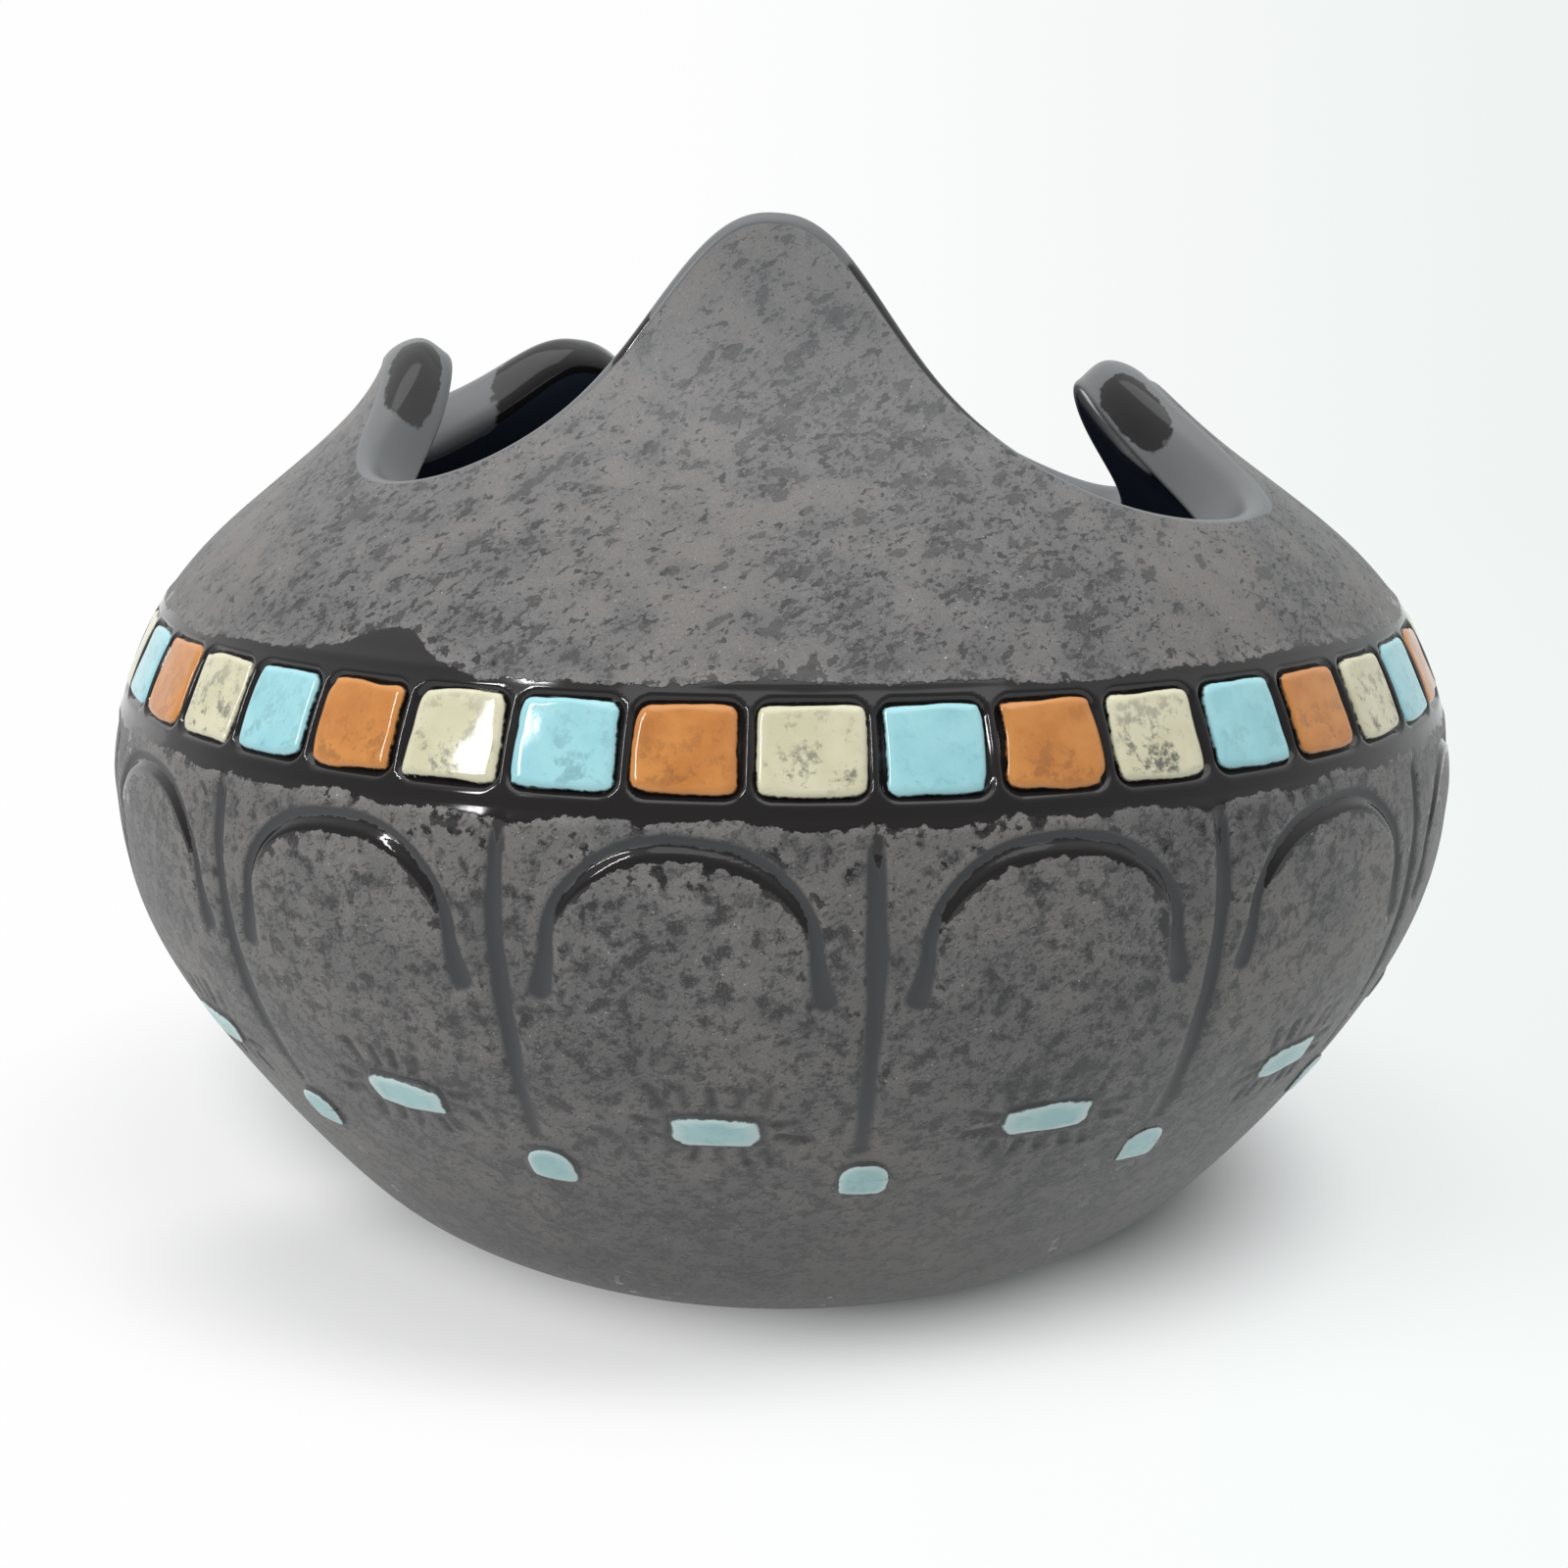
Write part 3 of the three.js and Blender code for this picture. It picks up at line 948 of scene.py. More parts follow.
@dataclass
class PotWall:
    """The foot, the wall behind the belly's skin, the shoulder, the neck, the rim and the inside."""

    form: PotForm
    carving: Carving
    skin: BellySkin
    bed: BandBed
    glaze: RimGlaze = field(default_factory=RimGlaze)
    columns: int = 672
    outer_round: tuple[float, float] = (1.8, 4.3)
    inner_round: tuple[float, float] = (0.55, 2.7)
    crown: tuple[float, float] = (-0.12, 0.8)
    shoulder_step: float = 0.55
    neck_rows: int = 34
    inside_rows: int = 40

    def _steep(self, azimuth: np.ndarray, rim: np.ndarray) -> np.ndarray:
        """How much longer a step down the wall is than a step square to the rim's run."""
        step = 1e-3
        run = self.form.outer_radius(azimuth, rim) * 2.0 * step
        change = self.form.rim_height(azimuth + step) - self.form.rim_height(azimuth - step)
        return np.minimum(2.0, np.hypot(1.0, change / run))

    def _rounds(self, azimuth: np.ndarray) -> tuple[np.ndarray, np.ndarray]:
        """Radii of the rim's outer and inner edges, larger on the soft lobes."""
        soft_outer, soft_inner = self.form.rim_softness(azimuth)
        return mixed(*self.outer_round, soft_outer), mixed(*self.inner_round, soft_inner)

    def _rim_rows(self, azimuth: np.ndarray) -> tuple[np.ndarray, np.ndarray]:
        """The rounded outer edge, the cut face and the rounded inner edge.

        Args:
            azimuth: The columns' angles.

        Returns:
            Points by rows and columns, and the share of the way over the face for each. Each
            edge is a quarter ellipse, flatter towards the face.
        """
        form = self.form
        rim = form.rim_height(azimuth)
        wall = form.wall(rim)
        out, up = form.normal(rim)
        steep = self._steep(azimuth, rim)
        outer_round, inner_round = self._rounds(azimuth)
        crown = mixed(*self.crown, form.rim_softness(azimuth)[0])
        quarter = np.linspace(0.0, 0.5 * math.pi, 11)[1:, None]
        flat = np.linspace(0.0, 1.0, 9)[1:-1, None]
        width = wall - outer_round - inner_round
        depth_outer = outer_round * (1.0 - np.cos(quarter))
        depth_inner = wall - inner_round * (1.0 - np.cos(quarter[::-1]))
        depth = np.concatenate([depth_outer, outer_round + flat * width, depth_inner])
        drop_outer = outer_round * steep * (1.0 - np.sin(quarter))
        drop_inner = inner_round * steep * (1.0 - np.sin(quarter[::-1]))
        drop = np.concatenate([drop_outer, 0.0 * flat * width, drop_inner])
        drop = drop - crown * np.sin(math.pi * depth / wall) ** 2
        radius = form.outer_radius(azimuth, rim) - depth * out + drop * up
        height = rim - depth * up - drop * out
        return form.placed(np.broadcast_to(azimuth, depth.shape), radius, height), depth / wall

    def build(self, finish: "Blackware") -> bpy.types.Object:
        """Make the wall as one closed body.

        Args:
            finish: The pot's glaze.

        Returns:
            The finished piece.
        """
        form = self.form
        azimuth = FULL_TURN * np.arange(self.columns) / self.columns
        rim = form.rim_height(azimuth)
        outer_round, inner_round = self._rounds(azimuth)
        steep = self._steep(azimuth, rim)
        out, _ = form.normal(rim)
        shoulder_top = rim - outer_round * steep * out
        lip_top = form.band_point(14.0, 0.0)[1]
        seam_height = self.bed.top
        band_heights = spaced_heights(form, [(seam_height, self.shoulder_step)], lip_top)
        share = np.linspace(0.0, 1.0, self.neck_rows + 1)[1:, None]
        neck_heights = lip_top + share * (shoulder_top - lip_top)
        band_grid = np.repeat(band_heights[:, None], self.columns, axis=1)
        outside_heights = np.concatenate([band_grid, neck_heights])
        turn = np.broadcast_to(azimuth, outside_heights.shape)
        relief = self.carving.relief(turn, outside_heights)
        level = smooth_step(0.0, 6.0, shoulder_top - outside_heights)
        outside = form.sunk(turn, outside_heights, relief.depth * level)
        below = (rim - outside_heights) / out
        spilled = self.glaze.spill(turn, below)
        pooled = np.maximum(relief.pool, self.glaze.edge(turn, below))
        normals = self._outside_normals(azimuth, outside_heights, relief.depth * level)

        rim_points, face_share = self._rim_rows(azimuth)
        face = np.clip(face_share, 0.0, 1.0)
        rim_turn = np.broadcast_to(azimuth, face.shape)
        wall = form.wall(rim)
        crept = self.glaze.edge(rim_turn, 0.0 * face) - 4.0 * face
        rim_pool = np.maximum(self.glaze.pool(rim_turn, face, wall), crept)
        # Painted shade inside the small dips at the rim's lows and a painted light ring round them.
        rim_hollow_shade = self.glaze.hollow_shade(rim_turn, face, wall)
        inside_pool = self.glaze.pool(azimuth, np.ones_like(azimuth), wall)

        top_outer = rim - inner_round * steep * out
        inside_share = np.linspace(0.0, 1.0, self.inside_rows + 1)[1:, None] ** 1.7
        inside_heights = top_outer - inside_share * (top_outer - 2.0)
        inside_turn = np.broadcast_to(azimuth, inside_heights.shape)
        inside = form.sunk(inside_turn, inside_heights, form.wall(inside_heights))

        inside_below = (top_outer - inside_heights) / out
        inside_black = np.minimum(9.0, np.maximum(inside_pool, inside_below - 0.2))
        hidden_heights = np.linspace(0.0, seam_height, 13)[:, None] + 0.0 * azimuth
        hidden_turn = np.broadcast_to(azimuth, hidden_heights.shape)
        hidden = form.sunk(hidden_turn, hidden_heights, np.full_like(hidden_heights, self.skin.thickness))
        hidden[0, :, 2] = 0.0

        shape = Shape("pot_wall")
        plain = {"groove": 0.0, "stroke": 0.0, "face": -1.0}
        hidden_numbers = shape.add_points(hidden, pool=-9.0, **plain)
        outside_numbers = shape.add_points(
            outside, pool=pooled, groove=relief.groove, stroke=relief.stroke, face=spilled - 1.0
        )
        # On the rim, the mark after groove holds the painted shade and painted light of the dips at its
        # lows.
        rim_numbers = shape.add_points(rim_points, pool=rim_pool, groove=1.0, stroke=rim_hollow_shade, face=face)
        inside_numbers = shape.add_points(inside, pool=inside_black, groove=1.0, stroke=0.0, face=2.0)
        floor_height = float(inside[-1, :, 2].mean())
        foot_centre = int(shape.add_points(np.zeros((1, 3)), pool=-9.0, **plain)[0])
        floor_point = np.array([[0.0, 0.0, floor_height]])
        floor_marks = {"groove": 1.0, "stroke": 0.0, "face": 2.0}
        floor_centre = int(shape.add_points(floor_point, pool=9.0, **floor_marks)[0])
        rows = np.concatenate([hidden_numbers, outside_numbers, rim_numbers, inside_numbers])
        shape.add_grid(rows, wraps=True)
        shape.add_fan(rows[0], foot_centre, forward=False)
        shape.add_fan(rows[-1], floor_centre, forward=True)
        chosen = np.zeros((shape.count, 3))
        chosen[outside_numbers[:-1].reshape(-1)] = normals[:-1].reshape(-1, 3)
        piece = shape.finished(chosen, (hidden_numbers[0], hidden_numbers[-1], outside_numbers[0]))
        finish.dress(piece)
        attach(piece, "root")
        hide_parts("pot_body")
        return piece

    def _outside_normals(
        self, azimuth: np.ndarray, heights: np.ndarray, depth: np.ndarray
    ) -> np.ndarray:
        """Normals of the outside, with a column more at each end of the round and a row below.

        Args:
            azimuth: The columns' angles.
            heights: Heights by rows and columns.
            depth: Depth of the relief at each.

        Returns:
            A unit normal at each place.
        """
        step = azimuth[1] - azimuth[0]
        lower = heights[:1] - (heights[1:2] - heights[:1])
        turns = np.concatenate([[azimuth[0] - step], azimuth, [azimuth[-1] + step]])
        rows = np.concatenate([lower, heights])
        rows = np.concatenate([rows[:, -1:], rows, rows[:, :1]], axis=1)
        below = self.carving.relief(np.broadcast_to(azimuth, lower.shape), lower).depth
        depths = np.concatenate([below, depth])
        depths = np.concatenate([depths[:, -1:], depths, depths[:, :1]], axis=1)
        surface = self.form.sunk(np.broadcast_to(turns, rows.shape), rows, depths)
        return grid_normals(surface)[1:, 1:-1]


@dataclass(frozen=True)
class Seat:
    """Where a glaze pad sits: its centre on the wall, and the ways up the wall and out of it."""

    azimuth: float
    radius: float
    height: float
    up: tuple[float, float]
    out: tuple[float, float]

    def placed(self, across: np.ndarray, along: np.ndarray, rise: np.ndarray) -> np.ndarray:
        """Points in metres from places across and up the pad and their rise over the wall."""
        azimuth = self.azimuth + across / self.radius
        radius = self.radius + along * self.up[0] + rise * self.out[0]
        height = self.height + along * self.up[1] + rise * self.out[1]
        parts = (radius * np.sin(azimuth), -radius * np.cos(azimuth), height)
        return np.stack(parts, axis=-1) * MM


@dataclass
class PadShape:
    """The rise of a glaze pad: a pillow with rolled edges and a hollow skirt, in mm."""

    top: float = 0.26
    crown: float = 0.05
    roll: float = 0.75
    edge_drop: float = 0.66
    skirt: float = 0.34
    floor: float = -0.82
    bottom: float = -1.6
    dimple: float = 0.03
    rings: tuple[float, ...] = (0.2, 0.4, 0.56, 0.68, 0.77, 0.83, 0.87, 0.9, 0.925, 0.95, 0.97, 0.985, 1.0)
    skirt_rings: tuple[float, ...] = (0.12, 0.28, 0.46, 0.62, 0.75, 0.88, 1.0)

    def build(
        self,
        name: str,
        seat: Seat,
        outline: np.ndarray,
        draw: np.random.Generator,
    ) -> Shape:
        """Make a closed pad on a star-shaped outline.

        Args:
            name: Name of the piece.
            seat: Where it sits.
            outline: Points across and along, anticlockwise from outside.
            draw: Source of the small differences between pads.

        Returns:
            The shape. Inside the outline the rise is the top plus crown * (1 - s^2) at the share
            s of the way out, less a quarter circle over the last stretch, and outside it the
            skirt falls by a power of the way left. The rings grow rounder towards the middle.
        """
        after, before = np.roll(outline, -1, axis=0), np.roll(outline, 1, axis=0)
        tangent = after - before
        tangent = tangent / np.linalg.norm(tangent, axis=1, keepdims=True)
        normals = np.stack([tangent[:, 1], -tangent[:, 0]], axis=1)
        support = np.maximum(1.2, np.abs((outline * normals).sum(axis=1)))
        scales = np.array(self.rings)
        disk = outline * (np.abs(outline).max(axis=0).min() / np.linalg.norm(outline, axis=1, keepdims=True))
        inner = scales[:, None, None] * (disk + (outline - disk) * scales[:, None, None] ** 3)
        from_edge = (1.0 - scales[:, None]) * support[None]
        rolled = 1.0 - np.clip(from_edge / self.roll, 0.0, 1.0)
        phases = draw.uniform(0.0, FULL_TURN, 3)
        ripple = np.sin(0.9 * inner[..., 0] + phases[0]) * np.sin(0.8 * inner[..., 1] + phases[1])
        rise = self.top + self.crown * (1.0 - scales[:, None] ** 2) + self.dimple * ripple
        rise = rise - self.edge_drop * (1.0 - np.sqrt(1.0 - rolled**2))
        outsets = np.array(self.skirt_rings) * self.skirt
        skirt = outline[None] + outsets[:, None, None] * normals[None]
        edge_rise = rise[-1][None]
        left = 1.0 - outsets[:, None] / self.skirt
        skirt_rise = self.floor + (edge_rise - self.floor) * left**2.2
        base = skirt[-1:]
        places = np.concatenate([inner, skirt, base])
        rises = np.concatenate([rise, skirt_rise, np.full((1, len(outline)), self.bottom)])
        skirt_edges = -outsets[:, None] + 0.0 * support
        edges = np.concatenate([from_edge, skirt_edges, np.full((1, len(outline)), -1.0)])
        shape = Shape(name)
        half_height = np.abs(outline[:, 1]).max()
        wear = draw.uniform(0.45, 1.0)
        rings = shape.add_points(
            seat.placed(places[..., 0], places[..., 1], rises),
            wear=wear,
            edge=edges,
            along=places[..., 1] / half_height,
        )
        zero = np.zeros(1)
        crown = shape.add_points(
            seat.placed(zero, zero, zero + self.top + self.crown),
            wear=wear,
            edge=float(support.min()),
            along=0.0,
        )
        middle = seat.placed(zero, zero, zero + self.bottom)
        under = shape.add_points(middle, wear=wear, edge=-1.0, along=0.0)
        shape.add_grid(rings[::-1], wraps=True)
        shape.add_fan(rings[0], int(crown[0]), forward=True)
        shape.add_fan(rings[-1], int(under[0]), forward=False)
        return shape


def rounded_outline(
    width: float,
    height: float,
    corner: float,
    count: int,
    draw: np.random.Generator,
    wobble: float,
) -> np.ndarray:
    """Outline of a hand-laid tile: a rounded rectangle whose edge wanders.

    Args:
        width: Width across the band.
        height: Height up the wall.
        corner: Radius of the corners.
        count: Number of points.
        draw: Source of the wander.
        wobble: How far the edge wanders.

    Returns:
        Points, anticlockwise from the right: each ray from the centre meets the rectangle
        |x/w|^p + |y/h|^p = 1, scaled by a sum of a few waves.
    """
    power = 1.1 * min(width, height) / corner
    turn = FULL_TURN * np.arange(count) / count
    crowded = turn + 0.17 * np.sin(4.0 * turn)
    direction = np.stack([np.cos(crowded) * width, np.sin(crowded) * height], axis=1)
    unit = np.stack([np.cos(crowded), np.sin(crowded)], axis=1)
    reach = (np.abs(unit[:, 0]) ** power + np.abs(unit[:, 1]) ** power) ** (-1.0 / power)
    waves = np.zeros(count)
    for cycles, share in ((2, 0.5), (3, 0.8), (5, 0.7), (7, 0.45), (11, 0.22), (17, 0.12)):
        waves += share * draw.normal() * np.sin(cycles * turn + draw.uniform(0.0, FULL_TURN))
    scale = reach * (1.0 + wobble * waves / min(width, height))
    return 0.5 * direction * scale[:, None]


def srgb(code: str) -> tuple[float, float, float, float]:
    """Linear colour of a six-digit screen colour."""
    parts = [int(code[i : i + 2], 16) / 255.0 for i in (0, 2, 4)]
    linear = [c / 12.92 if c <= 0.04045 else ((c + 0.055) / 1.055) ** 2.4 for c in parts]
    return linear[0], linear[1], linear[2], 1.0


Socket = bpy.types.NodeSocket
Value = Socket | float | tuple[float, float, float, float]


class Graph:
    """A material's nodes, made and joined by short calls."""

    def __init__(self, name: str) -> None:
        """Make an empty material with a Principled shader.

        Args:
            name: Name of the material.
        """
        self.material = bpy.data.materials.new(name)
        self.material.use_nodes = True
        self.tree = self.material.node_tree
        self.tree.nodes.clear()
        self.output = self.tree.nodes.new("ShaderNodeOutputMaterial")
        self.shader = self.tree.nodes.new("ShaderNodeBsdfPrincipled")
        self.tree.links.new(self.shader.outputs["BSDF"], self.output.inputs["Surface"])
        self.place = self.tree.nodes.new("ShaderNodeTexCoord").outputs["Object"]

    def give(self, socket: Socket, value: Value) -> None:
        """Set a socket to a number or colour, or link it."""
        if isinstance(value, bpy.types.NodeSocket):
            self.tree.links.new(value, socket)
        else:
            socket.default_value = value

    def math(self, operation: str, first: Value, second: Value = 0.0) -> Socket:
        """Join two numbers by a math operation."""
        node = self.tree.nodes.new("ShaderNodeMath")
        node.operation = operation
        self.give(node.inputs[0], first)
        self.give(node.inputs[1], second)
        return node.outputs[0]

    def times(self, first: Value, second: Value) -> Socket:
        """The product of two numbers."""
        return self.math("MULTIPLY", first, second)

    def plus(self, first: Value, second: Value) -> Socket:
        """The sum of two numbers."""
        return self.math("ADD", first, second)

    def minus(self, first: Value, second: Value) -> Socket:
        """The first number less the second."""
        return self.math("SUBTRACT", first, second)

    def most(self, first: Value, second: Value) -> Socket:
        """The greater of two numbers."""
        return self.math("MAXIMUM", first, second)

    def blend(self, share: Value, first: Value, second: Value) -> Socket:
        """Mix two colours."""
        node = self.tree.nodes.new("ShaderNodeMix")
        node.data_type = "RGBA"
        self.give(node.inputs[0], share)
        self.give(node.inputs[6], first)
        self.give(node.inputs[7], second)
        return node.outputs[2]

    def between(self, share: Value, first: Value, second: Value) -> Socket:
        """Mix two numbers."""
        node = self.tree.nodes.new("ShaderNodeMix")
        node.data_type = "FLOAT"
        self.give(node.inputs[0], share)
        self.give(node.inputs[2], first)
        self.give(node.inputs[3], second)
        return node.outputs[0]

    def rise(self, value: Value, low: float, high: float) -> Socket:
        """Smooth rise from 0 at low to 1 at high."""
        node = self.tree.nodes.new("ShaderNodeMapRange")
        node.interpolation_type = "SMOOTHSTEP"
        self.give(node.inputs["Value"], value)
        node.inputs["From Min"].default_value = low
        node.inputs["From Max"].default_value = high
        return node.outputs["Result"]

    def mark(self, name: str) -> Socket:
        """A number that the mesh holds at each point."""
        node = self.tree.nodes.new("ShaderNodeAttribute")
        node.attribute_name = name
        return node.outputs["Fac"]

    def noise(
        self,
        size_mm: float,
        detail: float = 3.0,
        roughness: float = 0.55,
        stretch: tuple[float, float, float] = (1.0, 1.0, 1.0),
        shift: float = 0.0,
        tilt: float = 0.0,
    ) -> Socket:
        """Cloudy noise.

        Args:
            size_mm: Size of its largest features.
            detail: Number of finer layers.
            roughness: Strength of the finer layers.
            stretch: How much longer the pattern is along each axis.
            shift: Distance to move the pattern, in metres.
            tilt: Turn of the stretched pattern about the Y axis, in radians.

        Returns:
            The noise, about 0.5.
        """
        mapping = self.tree.nodes.new("ShaderNodeMapping")
        mapping.vector_type = "TEXTURE"
        self.tree.links.new(self.place, mapping.inputs["Vector"])
        mapping.inputs["Scale"].default_value = stretch
        mapping.inputs["Location"].default_value = (shift, shift * 1.7, shift * 0.6)
        mapping.inputs["Rotation"].default_value = (0.0, tilt, 0.0)
        node = self.tree.nodes.new("ShaderNodeTexNoise")
        self.tree.links.new(mapping.outputs["Vector"], node.inputs["Vector"])
        node.inputs["Scale"].default_value = 1.0 / (size_mm * MM)
        node.inputs["Detail"].default_value = detail
        node.inputs["Roughness"].default_value = roughness
        return node.outputs["Fac"]

    def bump(self, height: Value, distance_mm: float, strength: float, base: Value | None = None) -> Socket:
        """Normal of a fine bump, over another one where base gives it."""
        node = self.tree.nodes.new("ShaderNodeBump")
        self.give(node.inputs["Height"], height)
        node.inputs["Distance"].default_value = distance_mm * MM
        node.inputs["Strength"].default_value = strength
        if base is not None:
            self.give(node.inputs["Normal"], base)
        return node.outputs["Normal"]


@dataclass(frozen=True)
class Blackware:
    """The body's glaze: satin mottled brown-grey, and glossy black where it pooled.

    Colours are screen colours, the sizes of the patterns are in mm, and the heights where a
    change starts and ends are in metres.
    """

    field_dark: str = "6a6968"
    field_light: str = "7c7a79"
    field_warm: str = "84796f"
    patch: str = "4a4849"
    blot: str = "201f20"
    # Pale colour of the fine grain, and of the painted light on the upper part.
    glint: str = "dddbd8"
    pale_grain_and_painted_top_light: str = "e6e8ea"
    pool_colour: str = "1f1c1d"
    inside_painted_light_colour: str = "343b49"
    groove_colour: str = "3f4042"
    rim_colour: str = "6f7172"
    hollow_ring_highlight: str = "8f9292"
    stroke_colour: str = "38383a"
    field_roughness: float = 0.5
    pool_roughness: float = 0.09
    groove_roughness: float = 0.36
    rim_roughness: float = 0.48
    blot_roughness: float = 0.3
    shoulder_heights: tuple[float, float] = (0.09, 0.098)
    foot_shade_heights: tuple[float, float] = (0.004, 0.046)
    foot_shade_share: float = 0.5
    painted_top_light_heights: tuple[float, float] = (0.1, 0.138)
    painted_top_light_share: float = 0.17
    round_size: float = 1.9
    long_size: float = 2.2
    speck_size: float = 1.05
    fleck_size: float = 0.6
    speck_start: float = 0.6
    fleck_start: float = 0.6
    patch_start: float = 0.525
    patch_share: tuple[float, float] = (0.6, 0.12)
    speck_share: tuple[float, float] = (0.45, 0.9)

    def material(self) -> bpy.types.Material:
        """Build the nodes once.

        Returns:
            The material. The pool's edge is the mesh's signed distance moved by two noises.
        """
        found = bpy.data.materials.get("blackware_glaze_look")
        if found is not None:
            return found
        g = Graph("blackware_glaze_look")
        up = g.tree.nodes.new("ShaderNodeSeparateXYZ")
        g.tree.links.new(g.place, up.inputs["Vector"])
        height = up.outputs["Z"]
        shoulder = g.rise(height, *self.shoulder_heights)
        broad = g.noise(24.0, 3.0, 0.55)
        cloud = g.noise(5.0, 5.0, 0.6, shift=0.31)
        round_patches = g.noise(self.round_size, 4.0, 0.55, shift=0.12)
        long_patches = g.noise(self.long_size, 4.0, 0.55, (1.6, 1.6, 0.8), 0.17, -0.5)
        patches = g.between(shoulder, round_patches, long_patches)
        specks = g.noise(self.speck_size, 3.0, 0.55, (1.5, 1.5, 0.75), 0.57, -0.5)
        flecks = g.noise(self.fleck_size, 2.0, 0.5, (1.4, 1.4, 0.8), 0.77, -0.5)
        grain = g.noise(0.26, 2.0, 0.8)
        glints = g.noise(0.3, 1.0, 0.5, shift=0.93)

        pool = g.mark("pool")
        face = g.mark("face")
        rimmed = g.rise(face, -0.7, -0.4)
        even = g.most(g.rise(g.mark("groove"), 0.12, 0.6), rimmed)
        torn = g.between(even, g.between(shoulder, 2.4, 1.2), 1.0)
        ragged = g.times(g.minus(round_patches, 0.5), torn)
        fine_ragged = g.times(g.minus(specks, 0.5), g.between(even, 0.9, 0.4))
        depth_in = g.plus(g.plus(pool, ragged), fine_ragged)
        away = g.rise(g.times(pool, -1.0), 0.0, 9.0)
        blotches = g.plus(g.times(cloud, 0.45), g.times(round_patches, 0.55))
        spatter = g.minus(blotches, g.between(away, 0.55, 0.74))
        loose = g.minus(1.0, even)
        spots = g.times(g.times(g.rise(spatter, 0.0, 0.02), loose), 0.8)
        pooled = g.most(g.rise(depth_in, -0.1, 0.16), spots)
        smooth = g.times(even, g.minus(1.0, pooled))

        tones = g.plus(g.times(cloud, 0.6), g.times(broad, 0.4))
        field = g.blend(g.rise(tones, 0.38, 0.62), srgb(self.field_dark), srgb(self.field_light))
        warm = g.times(g.rise(g.plus(broad, g.times(cloud, 0.6)), 0.74, 0.94), 0.5)
        field = g.blend(g.times(warm, g.between(shoulder, 0.35, 0.6)), field, srgb(self.field_warm))
        crowd = g.times(g.minus(g.plus(broad, cloud), 1.0), g.between(shoulder, -0.1, -0.26))
        mottled = g.plus(patches, crowd)
        flecked = g.plus(specks, crowd)
        patch_share = g.between(shoulder, *self.patch_share)
        dark_patch = g.times(g.rise(mottled, self.patch_start, self.patch_start + 0.02), patch_share)
        dark_blot = g.times(g.rise(mottled, 0.6, 0.615), 0.7)
        speck_share = g.between(shoulder, *self.speck_share)
        dark_speck = g.times(g.rise(flecked, self.speck_start, self.speck_start + 0.03), speck_share)
        fine_flecked = g.plus(flecks, g.times(crowd, 1.2))
        dark_fleck = g.times(g.rise(fine_flecked, self.fleck_start, self.fleck_start + 0.03), 0.55)
        dark_speck = g.most(dark_speck, dark_fleck)
        field = g.blend(dark_patch, field, srgb(self.patch))
        field = g.blend(g.most(dark_blot, dark_speck), field, srgb(self.blot))
        light_grain = g.times(g.rise(grain, 0.5, 0.8), 0.16)
        dark_grain = g.times(g.rise(g.minus(1.0, grain), 0.5, 0.8), 0.35)
        field = g.blend(light_grain, field, srgb(self.pale_grain_and_painted_top_light))
        field = g.blend(dark_grain, field, srgb(self.blot))
        bright = g.times(g.rise(glints, 0.74, 0.8), g.rise(cloud, 0.4, 0.6))
        field = g.blend(bright, field, srgb(self.glint))
        # Painted shade: the field darkens towards the foot, near the floor.
        low = g.minus(1.0, g.rise(height, *self.foot_shade_heights))
        field = g.blend(g.times(low, self.foot_shade_share), field, srgb(self.blot))
        # Painted light: the field grows paler towards the top of the shoulder and the lobes, standing in for
        # light from above.
        pale_grain_and_painted_top_light = g.times(g.rise(height, *self.painted_top_light_heights), self.painted_top_light_share)
        field = g.blend(pale_grain_and_painted_top_light, field, srgb(self.pale_grain_and_painted_top_light))
        calm = g.blend(rimmed, srgb(self.groove_colour), srgb(self.rim_colour))
        stroke = g.mark("stroke")
        # Painted highlight: the light ring round the rim's dips, where the mark is below 0.
        calm = g.blend(g.rise(g.times(stroke, -1.0), 0.0, 0.8), calm, srgb(self.hollow_ring_highlight))
        smoothed = g.blend(smooth, field, calm)
        # Darker along gouges, round the bars and beside the arches, and painted shade in the rim's dips.
        marked = g.times(g.most(stroke, 0.0), 0.8)
        smoothed = g.blend(marked, smoothed, srgb(self.stroke_colour))
        # Painted light: inside the pot the black glaze is paler and bluish, standing in for light reaching
        # the inside.
        black = g.blend(g.rise(face, 1.05, 1.4), srgb(self.pool_colour), srgb(self.inside_painted_light_colour))
        colour = g.blend(pooled, smoothed, black)

        dry = g.minus(1.0, pooled)
        worn = g.between(dark_blot, self.field_roughness, self.blot_roughness)
        worn = g.plus(worn, g.times(g.minus(grain, 0.5), 0.16))
        worn = g.between(smooth, worn, g.between(rimmed, self.rim_roughness, self.groove_roughness))
        roughness = g.between(pooled, worn, self.pool_roughness)
        rough_parts = g.minus(g.times(cloud, 0.6), g.times(dark_blot, 0.5))
        rough_height = g.plus(rough_parts, g.times(grain, 0.3))
        matt = g.times(dry, g.minus(1.0, g.times(smooth, 0.9)))
        fine = g.bump(g.times(rough_height, matt), 0.16, 0.7)
        swell = g.bump(broad, 0.5, 0.35, fine)

        g.give(g.shader.inputs["Base Color"], colour)
        g.give(g.shader.inputs["Roughness"], roughness)
        g.give(g.shader.inputs["Normal"], swell)
        g.shader.inputs["IOR"].default_value = 1.5
        return g.material

    def dress(self, piece: bpy.types.Object) -> None:
        """Give a piece this glaze."""
        piece.data.materials.clear()
        piece.data.materials.append(self.material())


